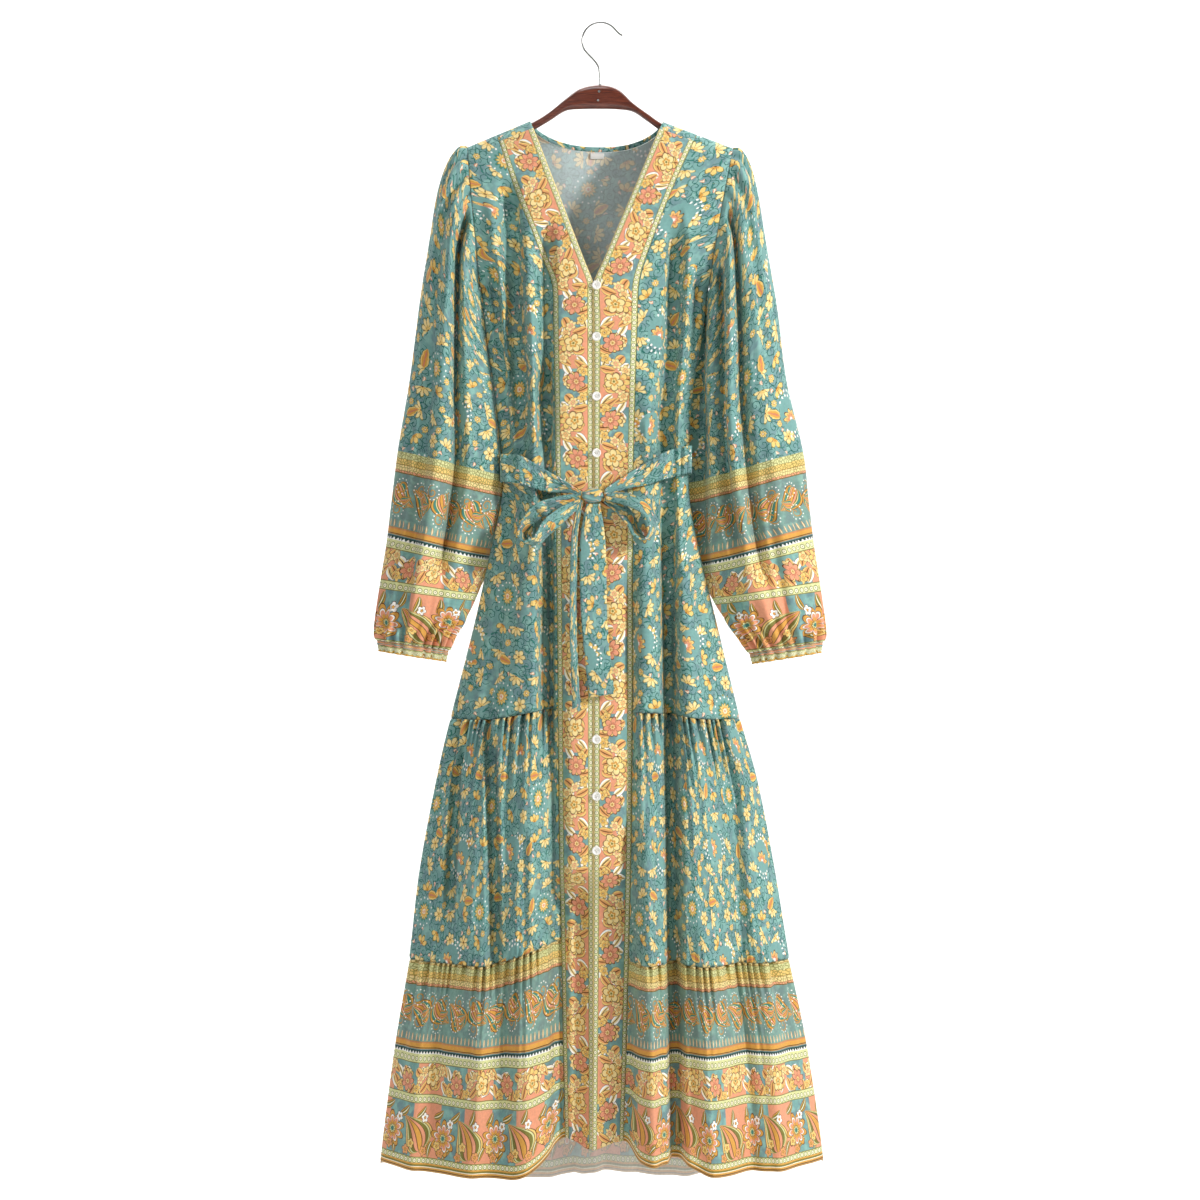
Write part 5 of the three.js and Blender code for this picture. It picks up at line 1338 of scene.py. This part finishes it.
def makeBorderPrint():
    add, given = newGroup("borderPrint", "place Vector", "colour Color")
    parts = add("SeparateXYZ", given["place"])
    along, up = parts.outputs[0], parts.outputs[1]
    colour = blocks = printBlocks(add, given["place"], along, 0.1)
    colour = useGroup(add, "garland", add("SUBTRACT", up, border["garland"]), along, colour)
    # the large paisley row needs its own clean blocks below the garland
    colour = add("MixRGB", add("LESS_THAN", up, border["paisleyTop"]), colour, blocks)
    off = add("SUBTRACT", up, border["paisley"])
    for offset, side, tilt in ((0.3, 22, 0.8), (0.8, -20, -2.2)):
        cell = rowCell(add, off, side, along, 31.7, offset, 6, tilt, 1.0)
        leaf = useGroup(add, "leafShape", cell, 20, 11, 0.4, -0.3)
        colour = printMotif(add, colour, leaf, [(0, "cream"), (0.14, "olive"), (0.6, "gold"),
                                                (0.85, "brown"), (1, None)])
    cell = useGroup(add, "motifRow", off, along, 95, 0.5, 6, 1.9, 0.3)
    paisley = useGroup(add, "leafShape", cell, 50, 72, 0.7, -0.8)
    colour = printMotif(add, colour, paisley, [
        (0, "gold"), (0.16, "brown"), (0.22, "coral"), (0.44, "brown"), (0.48, "olive"), (0.7, "chain"),
        (0.8, "brown"), (0.84, "yellow"), (0.95, "brown"), (1, None)])
    cell = rowCell(add, off, -4, along, 95, 0.0, 6, 0, 1)
    flower = useGroup(add, "blossom", cell, 23, 9, 4)
    colour = printMotif(add, colour, flower, [
        (0, "green"), (0.14, "chain"), (0.22, "brown"), (0.26, "gold"), (0.44, "coral"), (0.62, "white"),
        (0.7, "brown"), (0.74, "gold"), (0.92, "brown"), (0.98, None)])
    colour = printMotif(add, colour, add("ADD", flower.outputs[1], add("GREATER_THAN", flower, 0.9)),
                        [(0, "brown"), (0.14, None)])
    for step, offset, side, look in ((47.5, 0.25, 14, "white"), (47.5, 0.72, -15, "yellow"),
                                     (31.7, 0.1, -24, "orange")):
        cell = rowCell(add, off, side, along, step, offset, 5, 0, 3)
        bud = useGroup(add, "blossom", cell, 6.8, 5, 4)
        colour = printMotif(add, colour, bud, [(0, "gold"), (0.25, "brown"), (0.33, look),
                                               (0.85, "brown"), (0.97, None)])
    # the upper field has the washed ground of the main print
    upperField = add("GREATER_THAN", up, border["fieldFoot"])
    field = add("MixRGB", 0.2, useGroup(add, "wash", given["place"]), "olive")
    colour = add("MixRGB", upperField, colour, field)
    # stripes, the chains' rings, dark teeth on the white line and tassels under the paisley field
    share = add("DIVIDE", up, border["height"])
    colour = printMotif(add, colour, share, [(at / border["height"], ink) for at, ink in border["stripes"]])
    gaps = [add("ABSOLUTE", add("SUBTRACT", up, at)) for at in border["chains"]]
    nearest = add("MINIMUM", add("MINIMUM", gaps[0], gaps[1]), gaps[2])
    colour = printChain(add, colour, nearest, along, 3.3, 7.9)
    tooth = add("PINGPONG", add("DIVIDE", along, 5.6), 0.5)
    rise = add("DIVIDE", add("SUBTRACT", up, border["teeth"]), 9.0)
    dark = add("LESS_THAN", tooth, rise)
    inBand = add("COMPARE", up, 143.0, 2.2)
    colour = add("MixRGB", add("MULTIPLY", dark, inBand), colour, "night")
    cell = rowCell(add, up, border["tassels"], along, 7.6, 0, 0, math.pi / 2, 0)
    tassel = useGroup(add, "leafShape", cell, 9, 3.0, 0, -0.4)
    colour = printMotif(add, colour, tassel, [(0, "cream"), (0.35, "gold"), (1, None)])
    # paisleys, curls and buds in the teal field
    off = add("SUBTRACT", up, border["field"] + 3)
    inField = add("LESS_THAN", add("COMPARE", up, border["field"], border["fieldHalf"]), 1.0)
    for step, offset, side, tilt, length in ((76, 0.5, 2, 2.2, 40), (76, 0.0, -3, -0.9, 38),
                                             (38, 0.27, -3, 0.3, 18)):
        cell = rowCell(add, off, side, along, step, offset, 6, tilt, 0.6)
        paisley = useGroup(add, "leafShape", cell, length, length * 1.25, 0.7, -0.75)
        colour = printMotif(add, colour, add("ADD", paisley, inField), [
            (0, "gold"), (0.14, "brown"), (0.2, "coral"), (0.36, "olive"), (0.46, "butter"),
            (0.52, "green"), (0.72, "olive"), (0.78, "gold"), (0.92, "brown"), (1, None)])
    for step, offset, side in ((28.5, 0.2, 14), (38, 0.6, -15)):
        cell = rowCell(add, off, side, along, step, offset, 5, 0, 6)
        curl = useGroup(add, "curl", cell, 8.2, 6.0)
        colour = printMotif(add, colour, add("ADD", curl, inField),
                            [(0, "gold"), (0.08, "brown"), (0.12, None)])
        colour = printDotRing(add, colour, cell, 9.4, 12, 0.9)
    # dark doodles in the gold stripes
    doodle = add("TexVoronoi", given["place"], voronoi_dimensions="2D", feature="DISTANCE_TO_EDGE",
                 named={"Scale": 0.27})
    thin = add("MULTIPLY", add("LESS_THAN", doodle.outputs["Distance"], 0.13),
               add("GREATER_THAN", up, border["goldFoot"]))
    add("NodeGroupOutput", add("MixRGB", add("MULTIPLY", thin, 0.75), colour, "olive"))


for makeShape in (makeScatter, makeRow, makeBlossom, makeLeaf, makeCurl, makeWash, makeGarland,
                  makeGroundPrint, makeBandPrint, makeBorderPrint):
    makeShape()
print("print designs made")


# Printed cotton voile: plain weave, so matt with a faint soft sheen and a dry, slightly uneven
# surface. The real thread spacing is 0.35 mm; it is drawn at 0.9 mm so that it shows.
cotton = {"roughness": 0.86, "thread": 0.9, "bump": 0.12, "slub": 0.035, "sheen": 0.12,
          # the wrong side's near-white tint is partly the fade of the print and partly painted light on the
          # inside
          "wrongSide": 0.5, "insideFadeAndPaintedLightTint": "#f0f4f5"}
# scale of a wave texture that draws one line a millimetre
linePerMm = 0.31


def printedCotton(name, design, wrongSide=False):
    material, add = newMaterial(name)
    cloth = add("UVMap", uv_map="cloth")
    place = add("VectorMath", cloth, (1 / mm, 1 / mm, 0), operation="MULTIPLY")
    colour = useGroup(add, design, place)
    # wrong side: mixed half way to a near-white tint, partly the paler back of the print and partly painted
    # light that brightens the inside where it lies in shade
    if wrongSide:
        colour = add("MixRGB", cotton["wrongSide"], colour, cotton["insideFadeAndPaintedLightTint"])
    # the dye lies a little unevenly
    dye = add("TexNoise", place, noise_dimensions="2D", named={"Scale": cotton["slub"] * 8, "Detail": 4.0})
    level = add("MapRange", dye.outputs[0], 0.3, 0.7, 0.93, 1.05)
    tone = add("VectorMath", colour, operation="SCALE", named={"Scale": level})
    warp, weft = [add("TexWave", place, bands_direction=way,
                      named={"Scale": linePerMm / cotton["thread"], "Distortion": 0.6}) for way in "XY"]
    weave = add("ADD", warp.outputs[0], weft.outputs[0])
    slub = add("TexNoise", place, noise_dimensions="2D", named={"Scale": cotton["slub"], "Detail": 3.0})
    surface = add("MULTIPLY_ADD", slub.outputs[0], 6.0, weave)
    bump = add("Bump", named={"Strength": cotton["bump"], "Distance": 0.0006, "Height": surface})
    add("OutputMaterial", add("BsdfPrincipled", named={
        "Base Color": tone, "Roughness": cotton["roughness"], "Normal": bump, "Sheen Roughness": 0.5,
        "Sheen Weight": cotton["sheen"], "Specular IOR Level": 0.25}))
    return material


# neck label and sewing thread: plain woven polyester and twisted cotton, with fine slanting ribs
def plainWeave(name, colour, roughness, thread):
    material, add = newMaterial(name)
    cloth = add("UVMap", uv_map="cloth")
    place = add("VectorMath", cloth, (1 / mm, 1 / mm, 0), operation="MULTIPLY")
    warp = add("TexWave", place, bands_direction="DIAGONAL", named={"Scale": linePerMm / thread})
    shade = add("MapRange", warp.outputs[0], 0.0, 1.0, 0.86, 1.0)
    tone = add("VectorMath", linear(colour)[:3], operation="SCALE", named={"Scale": shade})
    bump = add("Bump", named={"Strength": 0.3, "Distance": 0.0004, "Height": warp.outputs[0]})
    add("OutputMaterial", add("BsdfPrincipled", named={
        "Base Color": tone, "Roughness": roughness, "Normal": bump, "Sheen Weight": 0.1,
        "Specular IOR Level": 0.25}))
    return material


# a noise in the object's own space, as a ramp between two colours
def noiseRamp(add, place, named, stops):
    cloud = add("TexNoise", place, named=named)
    ramp = add("ValToRGB", cloud.outputs[0])
    setStops(ramp, stops)
    return cloud.outputs[0], ramp


# Lotus wood, turned and stained mahogany under clear lacquer: long fine grain along the bar and
# a crisp highlight on top of the stain
def lacqueredWood(name):
    material, add = newMaterial(name)
    place = add("TexCoord").outputs["Object"]
    along = add("VectorMath", place, (60.0, 900.0, 900.0), operation="MULTIPLY")
    grain, stain = noiseRamp(add, along, {"Scale": 1.0, "Detail": 5.0},
                             [(0.32, "#41160d"), (0.68, "#7d3a22")])
    pores = add("VectorMath", place, (240.0, 3600.0, 3600.0), operation="MULTIPLY")
    pore = add("TexNoise", pores, named={"Scale": 1.0, "Detail": 2.0})
    dark = add("MapRange", pore.outputs[0], 0.56, 0.64, 0.0, 0.55)
    colour = add("MixRGB", dark, stain, "#2c0e08")
    bump = add("Bump", named={"Strength": 0.08, "Distance": 0.0004, "Height": grain})
    add("OutputMaterial", add("BsdfPrincipled", named={
        "Base Color": colour, "Roughness": 0.34, "Normal": bump, "Coat Weight": 0.6,
        "Coat Roughness": 0.12}))
    return material


# Bright nickel-plated steel wire: smooth, with the faint lengthwise lines of drawing
def platedSteel(name):
    material, add = newMaterial(name)
    place = add("TexCoord").outputs["Object"]
    drawn, shade = noiseRamp(add, place, {"Scale": 2200.0, "Detail": 3.0},
                             [(0.3, "#8e8f8e"), (0.7, "#a9aaa8")])
    rough = add("MapRange", drawn, 0.3, 0.7, 0.2, 0.34)
    add("OutputMaterial", add("BsdfPrincipled", named={
        "Base Color": shade, "Roughness": rough, "Metallic": 1.0}))
    return material


# Moulded polyester shirt button, pearl finish: milky with soft cloudy bands under a polished face
def pearlPolyester(name):
    material, add = newMaterial(name)
    place = add("TexCoord").outputs["Object"]
    cloud, milk = noiseRamp(add, place, {"Scale": 260.0, "Detail": 2.0, "Distortion": 1.2},
                            [(0.3, "#e9e6df"), (0.7, "#fdfcf8")])
    add("OutputMaterial", add("BsdfPrincipled", named={
        "Base Color": milk, "Roughness": 0.22, "Coat Weight": 0.4, "Coat Roughness": 0.08}))
    return material


# matt white paper of the studio's sweep
def mattPaper(name):
    material, add = newMaterial(name)
    add("OutputMaterial", add("BsdfPrincipled", named={"Base Color": "#f6f5f3", "Roughness": 0.95}))
    return material


# right side of the cloth, then its wrong side: paler from the fade of the print, and lifted further by
# painted light
cloths = {part: [printedCotton("printedCotton" + part.capitalize() + side, part + "Print", bool(side))
                 for side in ("", "Inside")] for part in ("ground", "border", "band")}
cloths["label"] = [plainWeave("wovenPolyester", "#eceae4", 0.6, 0.6)]
wood = lacqueredWood("lacqueredLotusWood")
steel = platedSteel("nickelSteel")
pearl = pearlPolyester("pearlPolyester")
thread = plainWeave("cottonThread", "#efe9dc", 0.8, 0.3)
print("materials made")

makeUpperBody(cloths)
makeTier("mid", cloths)
makeTier("hem", cloths)
makeBands(cloths)
makeNeckBinding(cloths)
makeLabel(cloths)
makeSleeve("left", cloths)
makeSleeve("right", cloths)
makeBelt(cloths)
makeBow(cloths)
makeButtons(pearl, thread)
makeHanger(wood, steel)

# the studio: white sweep, large soft lights, and the photograph's own camera
studio = {
    "floor": -1.60, "wallY": 5.2, "wallTop": 6.0, "curve": 1.8, "side": 8, "cameraY": -3.2,
    "cameraZ": -0.721, "lens": 76.8, "world": 0.1,
    # name, place, the point it shines at, size in metres, watts
    "lights": [
        ("key", (2.75, -2.1, 0.75), (0, 0, -0.7), 0.5, 117),
        ("fill", (-1.2, -3.0, 0.3), (0, 0, -0.7), 1.2, 16),
        ("top", (-0.2, -0.9, 1.9), (0, 0, -0.7), 0.8, 12),
        ("wall", (0, 2.2, 3.4), (0, 5.0, -0.8), 4.0, 360),
        ("rim", (-1.8, 1.6, 0.4), (0, 0, -0.7), 1.4, 10),
    ],
}


def makeStudio():
    floor, curve, side = studio["floor"], studio["curve"], studio["side"]
    start = studio["wallY"] - curve
    profile = [(-side, floor), (start, floor)]
    for step in range(1, 13):
        turn = math.pi / 2 * step / 12
        profile.append((start + curve * math.sin(turn), floor + curve * (1 - math.cos(turn))))
    profile.append((studio["wallY"], studio["wallTop"]))
    verts = [(x, y, z) for x in (-side, side) for y, z in profile]
    count = len(profile)
    faces = [(i, i + count, i + count + 1, i + 1) for i in range(count - 1)]
    mesh = bpy.data.meshes.new("sweep")
    mesh.from_pydata(verts, [], faces)
    smooth(mesh)
    mesh.materials.append(mattPaper("paperSweep"))
    sweep = bpy.data.objects.new("sweep", mesh)
    bpy.context.collection.objects.link(sweep)
    camera = bpy.data.cameras.new("camera")
    camera.lens = studio["lens"]
    camera.sensor_width = 36
    view = bpy.data.objects.new("camera", camera)
    view.location = (0, studio["cameraY"], studio["cameraZ"])
    view.rotation_euler = (math.pi / 2, 0, 0)
    bpy.context.collection.objects.link(view)
    bpy.context.scene.camera = view
    for name, place, target, size, power in studio["lights"]:
        lamp = bpy.data.lights.new(name, "AREA")
        lamp.size = size
        lamp.energy = power
        holder = bpy.data.objects.new(name, lamp)
        holder.location = place
        way = np.array(target) - np.array(place)
        holder.rotation_euler = [math.atan2(math.hypot(way[0], way[1]), -way[2]), 0,
                                 math.atan2(way[0], -way[1]) + math.pi]
        bpy.context.collection.objects.link(holder)
    world = bpy.data.worlds.new("studioWhite")
    world.use_nodes = True
    background = world.node_tree.nodes["Background"].inputs
    background["Color"].default_value = (1, 1, 1, 1)
    background["Strength"].default_value = studio["world"]
    bpy.context.scene.world = world
    bpy.context.scene.view_settings.view_transform = "Standard"
    print("studio made")


makeStudio()
